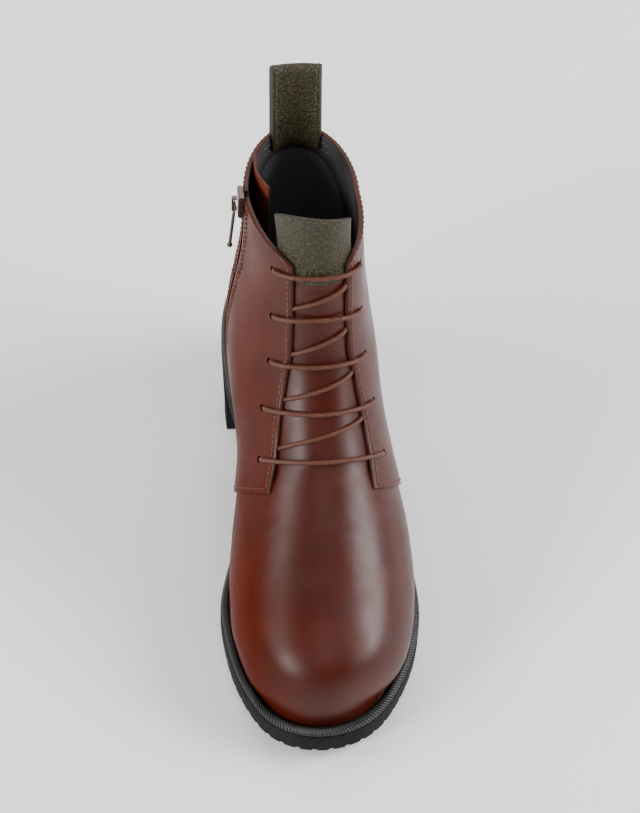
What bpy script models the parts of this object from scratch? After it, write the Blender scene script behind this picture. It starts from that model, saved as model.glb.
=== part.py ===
"""Left lace-up ankle boot: smooth leather, round toe, block heel and a zip on the inner side.

Metres, +Z up. The toe points to -Y and the wearer's outer side is +X. The origin is on the
floor, below the middle of the sole. Places are worked out first as (x, s, z), where s runs
forward from the back of the heel, and `place` turns them into the boot's own frame.
"""

import math

import bmesh
import bpy
import numpy as np
from mathutils import Matrix, Vector

# Sole and heel
SOLE_LENGTH = 0.255
SOLE_WIDTH = 0.0965
TOE_SWING = 0.0035
HEEL_SWING = 0.0018
TOE_SPRING = 0.0065
OUTSOLE_THICKNESS = 0.0120
HEEL_HEIGHT = 0.0580
HEEL_LENGTH = 0.0600
HEEL_TAPER = 0.0016
LIFT_THICKNESS = 0.0060
EDGE_ROUND = 0.0012
GROOVE_DEPTH = 0.0018
GROOVE_WIDTH = 0.0024
GROOVE_PITCH = 0.0078
GROOVE_START = 0.6
FLAT_START = 0.66
FLAT_END = 0.77
SHANK_START = 0.10
SEAT_SLOPE = 0.12
SPRING_CURVE = 1.6
SHANK_THIN = 0.55
SHANK_END = 0.42
SHANK_RUN = 0.16
BREAST_LEAN = 0.04
LEDGE_START = 0.25
LEDGE_RUN = 0.35
TOE_START = 0.86
TOE_SWING_START = 0.72
HEEL_SWING_START = 0.55
HEEL_SWING_RUN = 0.35

# Welt
WELT_HEIGHT = 0.0028
LEDGE_FRONT = 0.0052
LEDGE_BACK = 0.0032
LEDGE_TOE = 0.0064
WELT_INSET = 0.0006

# Upper
UPPER_RISE = 0.1100
WALL = 0.0020
QUARTER_STEP = 0.0014
LAP = 0.0070
THROAT_GAP = 0.0540
EYELET_COUNT = 5
EYELET_PITCH = 0.0232
EYELET_START = 0.0058
EYELET_INSET = 0.0112
EYELET_RADIUS = 0.0016

# Tongue, insole, laces
TONGUE_THICKNESS = 0.0016
TONGUE_TUCK = 0.0090
TONGUE_JOINT_ROW = 0.925
TONGUE_TOP_ROW = 1.12
TONGUE_CORNER = 0.034
TONGUE_SWING = 0.0040
INSOLE_THICKNESS = 0.0030
INSOLE_EASE = 0.0026
LACE_RADIUS = 0.0010
LACE_SLACK = 0.0003
LACE_TURN = 0.0036
LACE_SAG = 0.004

# Pull loop
LOOP_WIDTH = 0.0228
LOOP_HEIGHT = 0.0340
LOOP_THICKNESS = 0.0017
LOOP_INNER_LEG = 0.0120
LOOP_OUTER_LEG = 0.0240
LOOP_LEAN = 6.0
LOOP_FLATTEN = 0.7

# Zip on the inner side
ZIP_FOOT_S = 0.0620
ZIP_LEAN = 0.072
ZIP_SLOT = 0.0060
ZIP_FOOT_ROW = 0.70
ZIP_THICKNESS = 0.0016
ZIP_END_ROWS = 0.006
ZIP_ROWS = 20
SLIDER_LENGTH = 0.0150
SLIDER_WIDTH = 0.0095
SLIDER_THICKNESS = 0.0026
SLIDER_TAPER = 0.3
SLIDER_DROP = 0.0095
BRIDGE_LENGTH = 0.0080
BRIDGE_WIDTH = 0.0020
BRIDGE_GAP = 0.0016
BRIDGE_THICKNESS = 0.0009
PIN_RADIUS = 0.0004
PULL_LENGTH = 0.0300
PULL_RADIUS = 0.0008
BALL_RADIUS = 0.0014
PULL_LEAN = 4.0
GUARD_START = 0.0300
GUARD_WIDTH = 0.0220
GUARD_LENGTH = 0.0420
GUARD_STAND = 0.0090
GUARD_THICKNESS = 0.0012
GUARD_CURL = 1.6

# Clearances
FIT = 0.0003

# Stations along the sole, columns and rows of the upper
STATIONS = 34
HEEL_STATIONS = 22
ARC_POINTS = 61
SKIN_ROWS = 141
SIDE_COLUMNS = 15
COLUMN_CROWDING = 1.15
THROAT_COLUMNS = 4
VAMP_ROWS = 13
QUARTER_ROWS = 22
TONGUE_ROWS = 16
TONGUE_TIP_ROWS = 6
LOOP_ROWS = 8
ROUND_SIDES = 10

# Outline of the sole: share of the length from the heel, share of a plain oval on the inner
# and the outer side
OUTLINE = (
    (0.00, 1.34, 1.34),
    (0.05, 1.26, 1.23),
    (0.12, 1.12, 1.05),
    (0.25, 0.875, 0.80),
    (0.40, 0.66, 0.745),
    (0.55, 0.80, 0.915),
    (0.70, 1.065, 1.10),
    (0.80, 1.135, 1.175),
    (0.90, 1.19, 1.25),
    (1.00, 1.38, 1.45),
)

# Fan of sections from the toe to above the collar: row, back end and front end of the section
# as shares of the sole's length and of the upper's rise above the sole
FAN_PROFILE = (
    (0.00, 0.910, 0.000, 0.9749, 0.000),
    (0.07, 0.888, 0.000, 0.9715, 0.060),
    (0.14, 0.850, 0.000, 0.9570, 0.142),
    (0.21, 0.798, 0.000, 0.9290, 0.220),
    (0.30, 0.718, 0.000, 0.8600, 0.305),
    (0.39, 0.628, 0.000, 0.7730, 0.372),
    (0.47, 0.540, 0.000, 0.6940, 0.432),
    (0.54, 0.452, 0.000, 0.6270, 0.494),
    (0.60, 0.353, 0.000, 0.5730, 0.556),
    (0.66, 0.216, 0.000, 0.5250, 0.612),
    (0.72, 0.084, 0.000, 0.4860, 0.672),
    (0.77, 0.0130, 0.000, 0.4590, 0.722),
    (0.83, 0.0080, 0.200, 0.4290, 0.802),
    (0.89, 0.0240, 0.455, 0.4040, 0.880),
    (0.94, 0.0420, 0.710, 0.3880, 0.942),
    (1.00, 0.0470, 0.990, 0.3760, 1.000),
    (1.12, 0.0400, 1.200, 0.3600, 1.150),
)

# Widths of the fan: row, level of the widest place in the section, half widths on the inner
# and the outer side as shares of half the sole's width, fullness of the top, shift of the ridge
FAN_WIDTHS = (
    (0.00, 0.05, 0.560, 0.560, -0.30, -0.020),
    (0.07, 0.06, 0.640, 0.660, -0.30, -0.020),
    (0.14, 0.12, 0.720, 0.755, -0.24, -0.020),
    (0.21, 0.20, 0.810, 0.845, -0.12, -0.015),
    (0.30, 0.28, 0.890, 0.915, 0.00, -0.005),
    (0.39, 0.31, 0.880, 0.950, 0.00, 0.010),
    (0.47, 0.32, 0.830, 0.930, 0.00, 0.025),
    (0.54, 0.34, 0.750, 0.865, 0.00, 0.045),
    (0.60, 0.38, 0.680, 0.785, 0.00, 0.090),
    (0.66, 0.44, 0.680, 0.720, 0.02, 0.110),
    (0.72, 0.48, 0.710, 0.700, 0.04, 0.117),
    (0.77, 0.50, 0.715, 0.670, 0.06, 0.117),
    (0.83, 0.50, 0.655, 0.615, 0.08, 0.117),
    (0.89, 0.50, 0.575, 0.565, 0.10, 0.117),
    (0.94, 0.50, 0.540, 0.540, 0.10, 0.117),
    (1.00, 0.50, 0.530, 0.525, 0.10, 0.117),
    (1.12, 0.50, 0.535, 0.530, 0.10, 0.117),
)
HEEL_ROW = 0.77
SEAM_ROW = 0.54
TOE_BLEND = 0.14
BASE_LEAN = 0.15
WALL_FRONT = 0.010
WALL_BACK = 0.034
HEEL_BLEND = 0.18
HEEL_KEPT = 0.006
HEEL_PASSES = 40
TOE_EVEN = 0.34
TOE_KEPT = 0.0006
TOE_PASSES = 60
ROWS_PER_METRE = 2.1

# Part of the ledge that stays clear beside the upper: share of the length, share of the ledge
LEDGE_CLEAR = (
    (0.00, 0.70),
    (0.30, 0.64),
    (0.42, 0.58),
    (0.48, 0.28),
    (0.68, 0.20),
    (0.78, 0.35),
    (0.86, 0.50),
    (0.93, 0.22),
    (1.00, 0.18),
)

# Top line of the quarters: share of the way from the back to the facing's edge, row of the fan
TOP_LINE = (
    (0.00, 1.000),
    (0.45, 1.000),
    (0.62, 0.998),
    (0.76, 0.995),
    (0.87, 0.989),
    (0.95, 0.980),
    (1.00, 0.964),
)

# Gap between the facings: row of the fan, share of the gap at the throat's foot
THROAT_LINE = (
    (0.54, 1.000),
    (0.60, 0.900),
    (0.70, 0.710),
    (0.80, 0.550),
    (0.88, 0.505),
    (1.02, 0.500),
    (1.12, 0.550),
)


# Shared curves
def ease(share):
    share = np.clip(share, 0.0, 1.0)
    return share * share * (3.0 - 2.0 * share)


def smooth(table, column, at):
    """Curve without overshoot through one column of a table whose first column is the place."""
    places = np.array([row[0] for row in table])
    values = np.array([row[column] for row in table])
    secants = np.diff(values) / np.diff(places)
    slopes = np.concatenate([secants[:1], np.zeros(len(places) - 2), secants[-1:]])
    for k in range(1, len(places) - 1):
        if secants[k - 1] * secants[k] > 0:
            slopes[k] = 2 * secants[k - 1] * secants[k] / (secants[k - 1] + secants[k])
    at = np.clip(at, places[0], places[-1])
    cell = np.clip(np.searchsorted(places, at, side="right") - 1, 0, len(places) - 2)
    span = places[cell + 1] - places[cell]
    t = (at - places[cell]) / span
    left = values[cell] * (1 + 2 * t) * (1 - t) ** 2 + values[cell + 1] * t * t * (3 - 2 * t)
    return left + slopes[cell] * span * t * (1 - t) ** 2 - slopes[cell + 1] * span * t * t * (1 - t)


def resample(points, count):
    """Points at equal steps of length along a polyline."""
    steps = np.linalg.norm(np.diff(points, axis=0), axis=1)
    length = np.concatenate([[0.0], np.cumsum(steps)])
    at = np.linspace(0.0, length[-1], count)
    return np.column_stack([np.interp(at, length, points[:, k]) for k in range(points.shape[1])])


# Sole lines
INNER = -1
OUTER = 1


def sole_half_width(s, side):
    share = np.clip(s / SOLE_LENGTH, 0.0, 1.0)
    oval = 2.0 * np.sqrt(share * (1.0 - share)) * SOLE_WIDTH / 2
    return oval * smooth(OUTLINE, 1 if side == INNER else 2, share)


def sole_bottom(s):
    """Underside of the platform: flat under the ball, sprung at the toe."""
    beyond = np.clip((s - FLAT_END * SOLE_LENGTH) / ((1 - FLAT_END) * SOLE_LENGTH), 0, None)
    return TOE_SPRING * beyond ** SPRING_CURVE


def sole_top(s):
    s = np.asarray(s, dtype=float)
    seat = HEEL_HEIGHT + SEAT_SLOPE * (HEEL_LENGTH - s)
    climb = ease((FLAT_START - s / SOLE_LENGTH) / (FLAT_START - SHANK_START))
    return OUTSOLE_THICKNESS + sole_bottom(s) + (seat - OUTSOLE_THICKNESS) * climb


def axis_x(s):
    """Middle line: straight under the ball, swung inward at the toe and the heel."""
    share = s / SOLE_LENGTH
    toe = TOE_SWING * ease((share - TOE_SWING_START) / (1 - TOE_SWING_START))
    return -toe - HEEL_SWING * ease((HEEL_SWING_START - share) / HEEL_SWING_RUN)


def outline(inset, start=0.0, end=None):
    """Inner and outer edge of the sole, from the heel to the toe, moved in by a distance."""
    end = SOLE_LENGTH if end is None else end
    sides = []
    turn = np.linspace(0.0, math.pi, 241)
    s = start + (end - start) * (1 - np.cos(turn)) / 2
    for side in (INNER, OUTER):
        x = axis_x(s) + side * sole_half_width(s, side)
        along = np.gradient(np.column_stack([x, s]), axis=0)
        along /= np.linalg.norm(along, axis=1)[:, None]
        out = np.column_stack([along[:, 1], -along[:, 0]]) * side
        if start == 0.0:
            out[0] = (0.0, -1.0)
        if end == SOLE_LENGTH:
            out[-1] = (0.0, 1.0)
        depth = inset(s) if callable(inset) else inset
        moved = np.column_stack([x, s]) - out * np.reshape(depth, (-1, 1) if np.ndim(depth) else ())
        sides.append(moved)
    return sides


def ledge(s):
    """Width of the sole's rim outside the upper's line: narrow behind, widest at the toe."""
    share = s / SOLE_LENGTH
    front = (LEDGE_FRONT - LEDGE_BACK) * ease((share - LEDGE_START) / LEDGE_RUN)
    return LEDGE_BACK + front + (LEDGE_TOE - LEDGE_FRONT) * ease((share - TOE_START) / (1 - TOE_START))


FEATHER = outline(ledge)
FEATHER_TOE = FEATHER[0][-1, 1]
FEATHER_HEEL = FEATHER[0][0, 1]


def feather_x(s, side):
    edge = FEATHER[0 if side == INNER else 1]
    return np.interp(s, edge[:, 1], edge[:, 0])


def base_height(s):
    return sole_top(s) + FIT


X_SHIFT = -(outline(0.0)[0][:, 0].min() + outline(0.0)[1][:, 0].max()) / 2


def place(point):
    x, s, z = point
    return Vector((x + X_SHIFT, SOLE_LENGTH / 2 - s, z))


# Skin of the upper
def fan_ends(row):
    """Back and front end of a section, each as (s, z)."""
    back_s = smooth(FAN_PROFILE, 1, row) * SOLE_LENGTH
    front_s = smooth(FAN_PROFILE, 3, row) * SOLE_LENGTH
    back_rise = smooth(FAN_PROFILE, 2, row) * UPPER_RISE
    if row <= HEEL_ROW:
        back_s = max(back_s, FEATHER_HEEL)
        back_rise = 0.0
    front_rise = smooth(FAN_PROFILE, 4, row) * (UPPER_RISE + HEEL_HEIGHT / 2)
    back = np.array([back_s, base_height(back_s) + back_rise])
    front = np.array([front_s, base_height(front_s) + front_rise])
    return back, front


def upright_wall(arc, row, side, back, direction, middle):
    """Widths of a section kept out to the sole's line where it stands low over the sole."""
    s = back[0] + arc[:, 1] * direction[0]
    z = back[1] + arc[:, 1] * direction[1]
    wall = WALL_FRONT + (WALL_BACK - WALL_FRONT) * ease((row - 0.6) / 0.15)
    short = np.clip(np.abs(feather_x(s, side) - middle) - arc[:, 0], 0.0, None)
    return arc[:, 0] + short * ease(1 - (z - base_height(s)) / wall)


def section(row):
    """Points of one section, from the inner end over the ridge to the outer end."""
    back, front = fan_ends(row)
    chord = np.linalg.norm(front - back)
    level = smooth(FAN_WIDTHS, 1, row)
    fullness = smooth(FAN_WIDTHS, 4, row)
    shift = smooth(FAN_WIDTHS, 5, row) * SOLE_WIDTH / 2
    middle = float(axis_x(back[0]))
    halves = []
    for side, column in ((INNER, 2), (OUTER, 3)):
        width = smooth(FAN_WIDTHS, column, row) * SOLE_WIDTH / 2
        foot = abs(feather_x(back[0], side) - middle) if row < HEEL_ROW else 0.0
        width = max(width, foot + 0.0002)
        turn = np.linspace(math.pi / 2, 0.0, 60)
        ridge = shift * side * np.sin(turn)
        top_x = width * np.cos(turn) * (1 + fullness * np.sin(turn) ** 2) + ridge
        top_w = level + (1 - level) * np.sin(turn)
        last = math.acos(foot / width)
        down = np.linspace(0.0, last, 60)[1:]
        round_x = width * np.cos(down)
        low_w = level * (1 - np.sin(down) / math.sin(last))
        upright_x = foot + (width - foot) * (1 - np.cos(math.pi * low_w / level)) / 2
        share = foot / width
        lean = width * (1 - share ** 2) / (level * max(share, 0.1) * chord)
        mix = ease((share - 0.3) / 0.5) * max(0.0, 1 - BASE_LEAN / max(lean, BASE_LEAN))
        low_x = round_x + (upright_x - round_x) * mix
        arc = np.column_stack([np.append(top_x, low_x), np.append(top_w, low_w) * chord])
        arc = resample(arc, ARC_POINTS)
        arc[:, 0] = upright_wall(arc, row, side, back, (front - back) / chord, middle)
        arc = resample(arc, ARC_POINTS)
        if row < TOE_BLEND:
            edge = FEATHER[0 if side == INNER else 1]
            start = smooth(FAN_PROFILE, 1, 0.0) * SOLE_LENGTH
            toe = edge[edge[:, 1] > start][::-1]
            toe = np.vstack([toe, [feather_x(start, side), start]])
            share = (toe[:, 1] - start) / (FEATHER_TOE - start)
            exact = resample(np.column_stack([(toe[:, 0] - middle) * side, share * chord]), ARC_POINTS)
            arc += (exact - arc) * ease(1 - row / TOE_BLEND)
        halves.append(arc)
    direction = (front - back) / chord
    points = []
    for side, arc in ((INNER, halves[0][::-1]), (OUTER, halves[1][1:])):
        sz = back + arc[:, 1:2] * direction
        points.append(np.column_stack([middle + arc[:, 0] * side, sz]))
    points = np.vstack(points)
    if row < HEEL_ROW:
        points[0, 0] = feather_x(back[0], INNER)
        points[-1, 0] = feather_x(back[0], OUTER)
    return points


def even_out(points, weight, passes):
    """Evens the skin's grid where the weight is above 0; the sole's line and the ends stay."""
    for _ in range(passes):
        ringed = np.concatenate([points[:, -2:-1], points, points[:, 1:2]], axis=1)
        even = points.copy()
        even[1:-1] = (points[:-2] + points[2:] + ringed[1:-1, :-2] + ringed[1:-1, 2:]) / 4
        points = points + (even - points) * weight[:, :, None] * 0.5
    return points


def build_skin():
    """Grid of sections, evened out at the toe and where the open sections meet the heel's."""
    rows = np.linspace(0.0, FAN_PROFILE[-1][0], SKIN_ROWS)
    points = np.array([section(row) for row in rows])
    height = points[:, :, 2] - base_height(points[:, :, 1])
    heel = ease(1 - np.abs(rows - HEEL_ROW) / HEEL_BLEND)[:, None] * ease(height / HEEL_KEPT)
    toe = ease(1 - rows / TOE_EVEN)[:, None] * ease(height / TOE_KEPT)
    points = even_out(points, heel, HEEL_PASSES)
    return rows, even_out(points, toe, TOE_PASSES)


SKIN_AT, SKIN = build_skin()
SKIN_V = np.linspace(-1.0, 1.0, 2 * ARC_POINTS - 1)


def skin_point(row, v):
    """Point of the upper's skin: row of the fan, share of the half section (inner side below 0)."""
    r = np.clip(np.interp(row, SKIN_AT, np.arange(SKIN_ROWS)), 0, SKIN_ROWS - 1.001)
    c = np.clip((v + 1) / 2 * (len(SKIN_V) - 1), 0, len(SKIN_V) - 1.001)
    i, j = int(r), int(c)
    fr, fc = r - i, c - j
    low = SKIN[i, j] * (1 - fc) + SKIN[i, j + 1] * fc
    high = SKIN[i + 1, j] * (1 - fc) + SKIN[i + 1, j + 1] * fc
    return low * (1 - fr) + high * fr


def skin_normal(row, v):
    step_row, step_v = 0.004, 0.012
    across = skin_point(row, min(v + step_v, 1)) - skin_point(row, max(v - step_v, -1))
    along = skin_point(row + step_row, v) - skin_point(row - step_row, v)
    if row > HEEL_ROW and abs(v) > 1 - step_v:
        across = skin_point(row, -1 + step_v) - skin_point(row, 1 - step_v)
    out = np.cross(along, across)
    return out / np.linalg.norm(out)


def skin_offset(row, v, distance):
    """A point beside the skin, outside it where the distance is above 0."""
    point = skin_point(row, v)
    out = skin_normal(row, v)
    on_base = row <= 0 or (abs(v) >= 1 and row < HEEL_ROW)
    if on_base:
        out[2] = 0.0
        out /= np.linalg.norm(out)
    point = point + out * distance
    floor = base_height(point[1])
    point[2] = floor if on_base else max(point[2], floor)
    return point


def half_length(row, side):
    v = np.linspace(0.0, float(side), 41)
    line = np.array([skin_point(row, at) for at in v])
    return np.linalg.norm(np.diff(line, axis=0), axis=1).sum()


HALF_AT = np.linspace(0.0, FAN_PROFILE[-1][0], 60)
HALF_LENGTHS = {side: np.array([half_length(row, side) for row in HALF_AT]) for side in (INNER, OUTER)}


def half_girth(row, side):
    return np.interp(row, HALF_AT, HALF_LENGTHS[side])


def v_from_ridge(row, distance, side):
    return side * distance / half_girth(row, side)


def v_from_back(row, distance, side):
    return side * (1 - distance / half_girth(row, side))


def facing_gap(row):
    """Half the gap between the two facings, measured over the skin from the ridge."""
    return THROAT_GAP / 2 * smooth(THROAT_LINE, 1, row)


# Meshes
def fresh_scene():
    for old in list(bpy.data.objects):
        bpy.data.objects.remove(old, do_unlink=True)
    for mesh in list(bpy.data.meshes):
        bpy.data.meshes.remove(mesh)
    for curve in list(bpy.data.curves):
        bpy.data.curves.remove(curve)


def make_collection(name):
    found = bpy.data.collections.get(name) or bpy.data.collections.new(name)
    if found.name not in bpy.context.scene.collection.children:
        bpy.context.scene.collection.children.link(found)
    return found


def make_material(name, color, roughness, metallic=0.0):
    material = bpy.data.materials.get(name) or bpy.data.materials.new(name)
    material.use_nodes = True
    shader = material.node_tree.nodes["Principled BSDF"]
    shader.inputs["Base Color"].default_value = (*color, 1.0)
    shader.inputs["Roughness"].default_value = roughness
    shader.inputs["Metallic"].default_value = metallic
    return material


def add_object(name, data, material, collection, parent=None):
    made = bpy.data.objects.new(name, data)
    collection.objects.link(made)
    if material:
        data.materials.append(material)
    if parent:
        made.parent = parent
    return made


def mesh_from(bm, name):
    bmesh.ops.recalc_face_normals(bm, faces=bm.faces)
    mesh = bpy.data.meshes.new(name)
    bm.to_mesh(mesh)
    bm.free()
    return mesh


def loft(name, rings, tips):
    """Closed solid through rings of paired inner and outer points, capped by ladders of faces.

    Each ring is (inner points, outer points), both from the heel to the toe. `tips` says
    whether the first and the last pair are one point.
    """
    bm = bmesh.new()
    loops = []
    for inner, outer in rings:
        left = [bm.verts.new(place(p)) for p in inner]
        right = [bm.verts.new(place(p)) for p in outer]
        if tips[0]:
            bm.verts.remove(right[0])
            right[0] = left[0]
        if tips[1]:
            bm.verts.remove(right[-1])
            right[-1] = left[-1]
        loops.append((left, right))
    for (left, right), (next_left, next_right) in zip(loops, loops[1:]):
        for low, high in ((left, next_left), (right, next_right)):
            for k in range(len(low) - 1):
                bm.faces.new((low[k], low[k + 1], high[k + 1], high[k]))
        for end, tip in ((0, tips[0]), (-1, tips[1])):
            if not tip:
                bm.faces.new((left[end], right[end], next_right[end], next_left[end]))
    for left, right in (loops[0], loops[-1]):
        for k in range(len(left) - 1):
            corners = [left[k], left[k + 1], right[k + 1], right[k]]
            bm.faces.new(list(dict.fromkeys(corners)))
    return mesh_from(bm, name)


def edge_points(inset, height, start=0.0, end=None, count=STATIONS):
    """Both edges of a ring, thinned to the stations, with a height for each place."""
    sides = []
    for edge in outline(inset, start, end):
        keep = np.linspace(0, len(edge) - 1, count).round().astype(int)
        x, s = edge[keep, 0], edge[keep, 1]
        z = height(s) if callable(height) else np.full(len(s), height)
        sides.append(np.column_stack([x, s, z]))
    return sides


def shell(name, outer, inner, cells):
    """Closed wall between two layers of points that share keys and cells."""
    bm = bmesh.new()
    outside = {key: bm.verts.new(place(point)) for key, point in outer.items()}
    inside = {key: bm.verts.new(place(point)) for key, point in inner.items()}
    uses = {}
    for cell in cells:
        corners = list(dict.fromkeys(cell))
        bm.faces.new([outside[key] for key in corners])
        bm.faces.new([inside[key] for key in reversed(corners)])
        for a, b in zip(corners, corners[1:] + corners[:1]):
            if (b, a) in uses:
                del uses[(b, a)]
            else:
                uses[(a, b)] = True
    for a, b in uses:
        bm.faces.new((outside[b], outside[a], inside[a], inside[b]))
    return mesh_from(bm, name)


def strip(name, path, width, low, high, across=2):
    """Closed strip on the skin: `path` gives (row, distance from the back) pairs on one side."""
    outer, inner, cells = {}, {}, []
    shares = np.linspace(-0.5, 0.5, across + 1)
    for i, (row, distance, side) in enumerate(path):
        for j, share in enumerate(shares):
            v = v_from_back(row, distance + share * width, side)
            outer[i, j] = skin_offset(row, v, high)
            inner[i, j] = skin_offset(row, v, low)
    for i in range(len(path) - 1):
        for j in range(across):
            cells.append(((i, j), (i + 1, j), (i + 1, j + 1), (i, j + 1)))
    return shell(name, outer, inner, cells)


def cut(target, cutter, collection):
    """Boolean difference, with the cutter kept out of the render."""
    cutter.hide_render = True
    cutter.display_type = "WIRE"
    collection.objects.link(cutter)
    modifier = target.modifiers.new(cutter.name, "BOOLEAN")
    modifier.operation = "DIFFERENCE"
    modifier.solver = "EXACT"
    modifier.object = cutter


# Sole
def sole_under(s):
    """Underside of the outsole: the platform's in front, a thin shank and seat behind."""
    thin = OUTSOLE_THICKNESS * SHANK_THIN
    share = ease((s / SOLE_LENGTH - SHANK_END) / SHANK_RUN)
    return sole_top(s) - (thin + (OUTSOLE_THICKNESS - thin) * share)


def build_outsole():
    side = (
        (EDGE_ROUND, 0.0),
        (0.0, EDGE_ROUND),
        (0.0, 0.5),
        (0.0, -EDGE_ROUND),
        (EDGE_ROUND, 0.0),
    )
    rings = []
    for k, (inset, step) in enumerate(side):
        if k < 2:
            rings.append(edge_points(inset, lambda s: sole_under(s) + step))
        elif k == 2:
            rings.append(edge_points(inset, lambda s: (sole_under(s) + sole_top(s)) / 2))
        else:
            rings.append(edge_points(inset, lambda s: sole_top(s) + step))
    return loft("outsole", rings, (True, True))


def heel_line(inset, height):
    """Ring of the heel block, whose breast leans forward as it rises."""
    breast = HEEL_LENGTH + BREAST_LEAN * np.mean(height(np.array([HEEL_LENGTH])))
    return edge_points(inset, height, 0.0, breast, HEEL_STATIONS)


def build_heel():
    def top(s):
        return sole_under(s) - FIT

    def bottom(s):
        return np.full(np.shape(s), LIFT_THICKNESS + FIT)

    def middle(s):
        return (top(s) + bottom(s)) / 2

    rings = [heel_line(HEEL_TAPER, bottom), heel_line(HEEL_TAPER * 0.5, middle), heel_line(0.0, top)]
    return loft("heel", rings, (True, False))


def build_top_lift():
    def floor(s):
        return np.zeros(np.shape(s))

    def rim(s):
        return np.full(np.shape(s), EDGE_ROUND / 2)

    def top(s):
        return np.full(np.shape(s), LIFT_THICKNESS)

    rings = [
        heel_line(HEEL_TAPER + EDGE_ROUND / 2, floor),
        heel_line(HEEL_TAPER, rim),
        heel_line(HEEL_TAPER, top),
    ]
    return loft("heel_top_lift", rings, (True, False))


def groove_cutter(name, start, end, inset, height):
    """Notches around the bottom edge, one joined mesh of boxes square to the edge."""
    bm = bmesh.new()
    for edge in outline(inset):
        inside = (edge[:, 1] > start) & (edge[:, 1] < end)
        run = edge[inside]
        length = np.linalg.norm(np.diff(run, axis=0), axis=1).sum()
        count = int(length / GROOVE_PITCH)
        stations = resample(run, count * 8 + 1)
        for k in range(count):
            x, s = stations[8 * k + 4]
            ahead = stations[8 * k + 5] - stations[8 * k + 3]
            angle = math.atan2(-ahead[1], ahead[0])
            box = bmesh.ops.create_cube(bm, size=1.0)["verts"]
            bmesh.ops.scale(bm, verts=box, vec=(GROOVE_WIDTH, 5 * GROOVE_WIDTH, 2 * GROOVE_DEPTH))
            bmesh.ops.rotate(bm, verts=box, matrix=Matrix.Rotation(angle, 3, "Z"))
            bmesh.ops.translate(bm, verts=box, vec=place((x, s, height(s))))
    return bpy.data.objects.new(name, mesh_from(bm, name))


def build_welt():
    """Band on the ledge, open in the middle for the upper."""
    def inside(s):
        return ledge(s) * (1 - smooth(LEDGE_CLEAR, 1, s / SOLE_LENGTH))

    low = edge_points(inside, lambda s: sole_top(s) + FIT)
    high = edge_points(inside, lambda s: sole_top(s) + WELT_HEIGHT)
    low_out = edge_points(WELT_INSET, lambda s: sole_top(s) + FIT)
    high_out = edge_points(WELT_INSET, lambda s: sole_top(s) + WELT_HEIGHT)
    bm = bmesh.new()
    loops = []
    for inner, outer in (low, high, high_out, low_out):
        around = np.vstack([inner, outer[-2:0:-1]])
        loops.append([bm.verts.new(place(p)) for p in around])
    count = len(loops[0])
    for loop, other in zip(loops, loops[1:] + loops[:1]):
        for k in range(count):
            n = (k + 1) % count
            bm.faces.new((loop[k], loop[n], other[n], other[k]))
    return mesh_from(bm, "welt")


def build_insole():
    def inset(s):
        return ledge(s) + WALL + INSOLE_EASE

    low = edge_points(inset, lambda s: base_height(s))
    high = edge_points(inset, lambda s: base_height(s) + INSOLE_THICKNESS)
    return loft("insole", [low, high], (True, True))


# Upper
def upper_columns():
    """Column keys with their side and share: sides first, then the throat between them."""
    shares = 1 - (1 - np.linspace(0, 1, SIDE_COLUMNS + 1)) ** COLUMN_CROWDING
    columns = [(INNER, share) for share in shares]
    middle = np.linspace(-1, 1, 2 * THROAT_COLUMNS + 1)[1:-1]
    columns += [(0, share) for share in middle]
    columns += [(OUTER, share) for share in shares[::-1]]
    return columns


def column_v(row, column):
    side, share = column
    edge = {end: facing_gap(row) / half_girth(row, end) for end in (INNER, OUTER)}
    if side == 0:
        return share * edge[INNER if share < 0 else OUTER]
    return side * (1 - share * (1 - edge[side]))


def build_upper():
    columns = upper_columns()
    vamp = np.linspace(0.0, SEAM_ROW, VAMP_ROWS + 1)
    quarter = np.linspace(0.0, 1.0, QUARTER_ROWS + 1)
    lap = LAP / (0.9 * SOLE_LENGTH)
    outer, inner, cells = {}, {}, []
    rows = len(vamp) + len(quarter)

    def wall_inside(row):
        return -WALL + QUARTER_STEP * float(ease((row - SEAM_ROW + lap / 2) / lap))

    def key(r, c):
        if c == len(columns) - 1 and heel_closed[r]:
            return (r, 0)
        return (r, c)

    heel_closed = [False] * len(vamp)
    grid = []
    for row in vamp:
        grid.append([(row, column_v(row, column)) for column in columns])
    for share in quarter:
        line = []
        for side, across in columns:
            top = smooth(TOP_LINE, 1, across) if side else 1.0
            row = SEAM_ROW + (top - SEAM_ROW) * share
            line.append((row, column_v(row, (side, across))))
        grid.append(line)
        heel_closed.append(line[0][0] >= HEEL_ROW)
    for r in range(rows):
        on_quarter = r >= len(vamp)
        for c, (row, v) in enumerate(grid[r]):
            if on_quarter and columns[c][0] == 0:
                continue
            side_v = math.copysign(1.0, v) if columns[c][0] and columns[c][1] == 0 else v
            outer[key(r, c)] = skin_offset(row, side_v, QUARTER_STEP if on_quarter else 0.0)
            inside_row = row
            if r == len(vamp):
                inside_row = row + lap / 2
            inner[key(r, c)] = skin_offset(inside_row, side_v, wall_inside(inside_row))
    for r in range(rows - 1):
        for c in range(len(columns) - 1):
            middle = columns[c][0] == 0 or columns[c + 1][0] == 0
            if middle and r + 1 >= len(vamp):
                continue
            cells.append((key(r, c), key(r, c + 1), key(r + 1, c + 1), key(r + 1, c)))
    return shell("upper", outer, inner, cells)


def facing_point(number, side):
    """Row and v of a lace hole, counted from the top."""
    rows = np.linspace(TOP_LINE[-1][1], SEAM_ROW, 80)
    edge = np.array([skin_point(row, v_from_ridge(row, facing_gap(row), side)) for row in rows])
    run = np.concatenate([[0.0], np.cumsum(np.linalg.norm(np.diff(edge, axis=0), axis=1))])
    row = float(np.interp(EYELET_START + number * EYELET_PITCH, run, rows))
    return row, v_from_ridge(row, facing_gap(row) + EYELET_INSET, side)


def basis_along(direction):
    return Vector(direction).to_track_quat("Z", "Y").to_matrix()


def frame_direction(vector):
    x, s, z = vector
    return Vector((x, -s, z))


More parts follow.
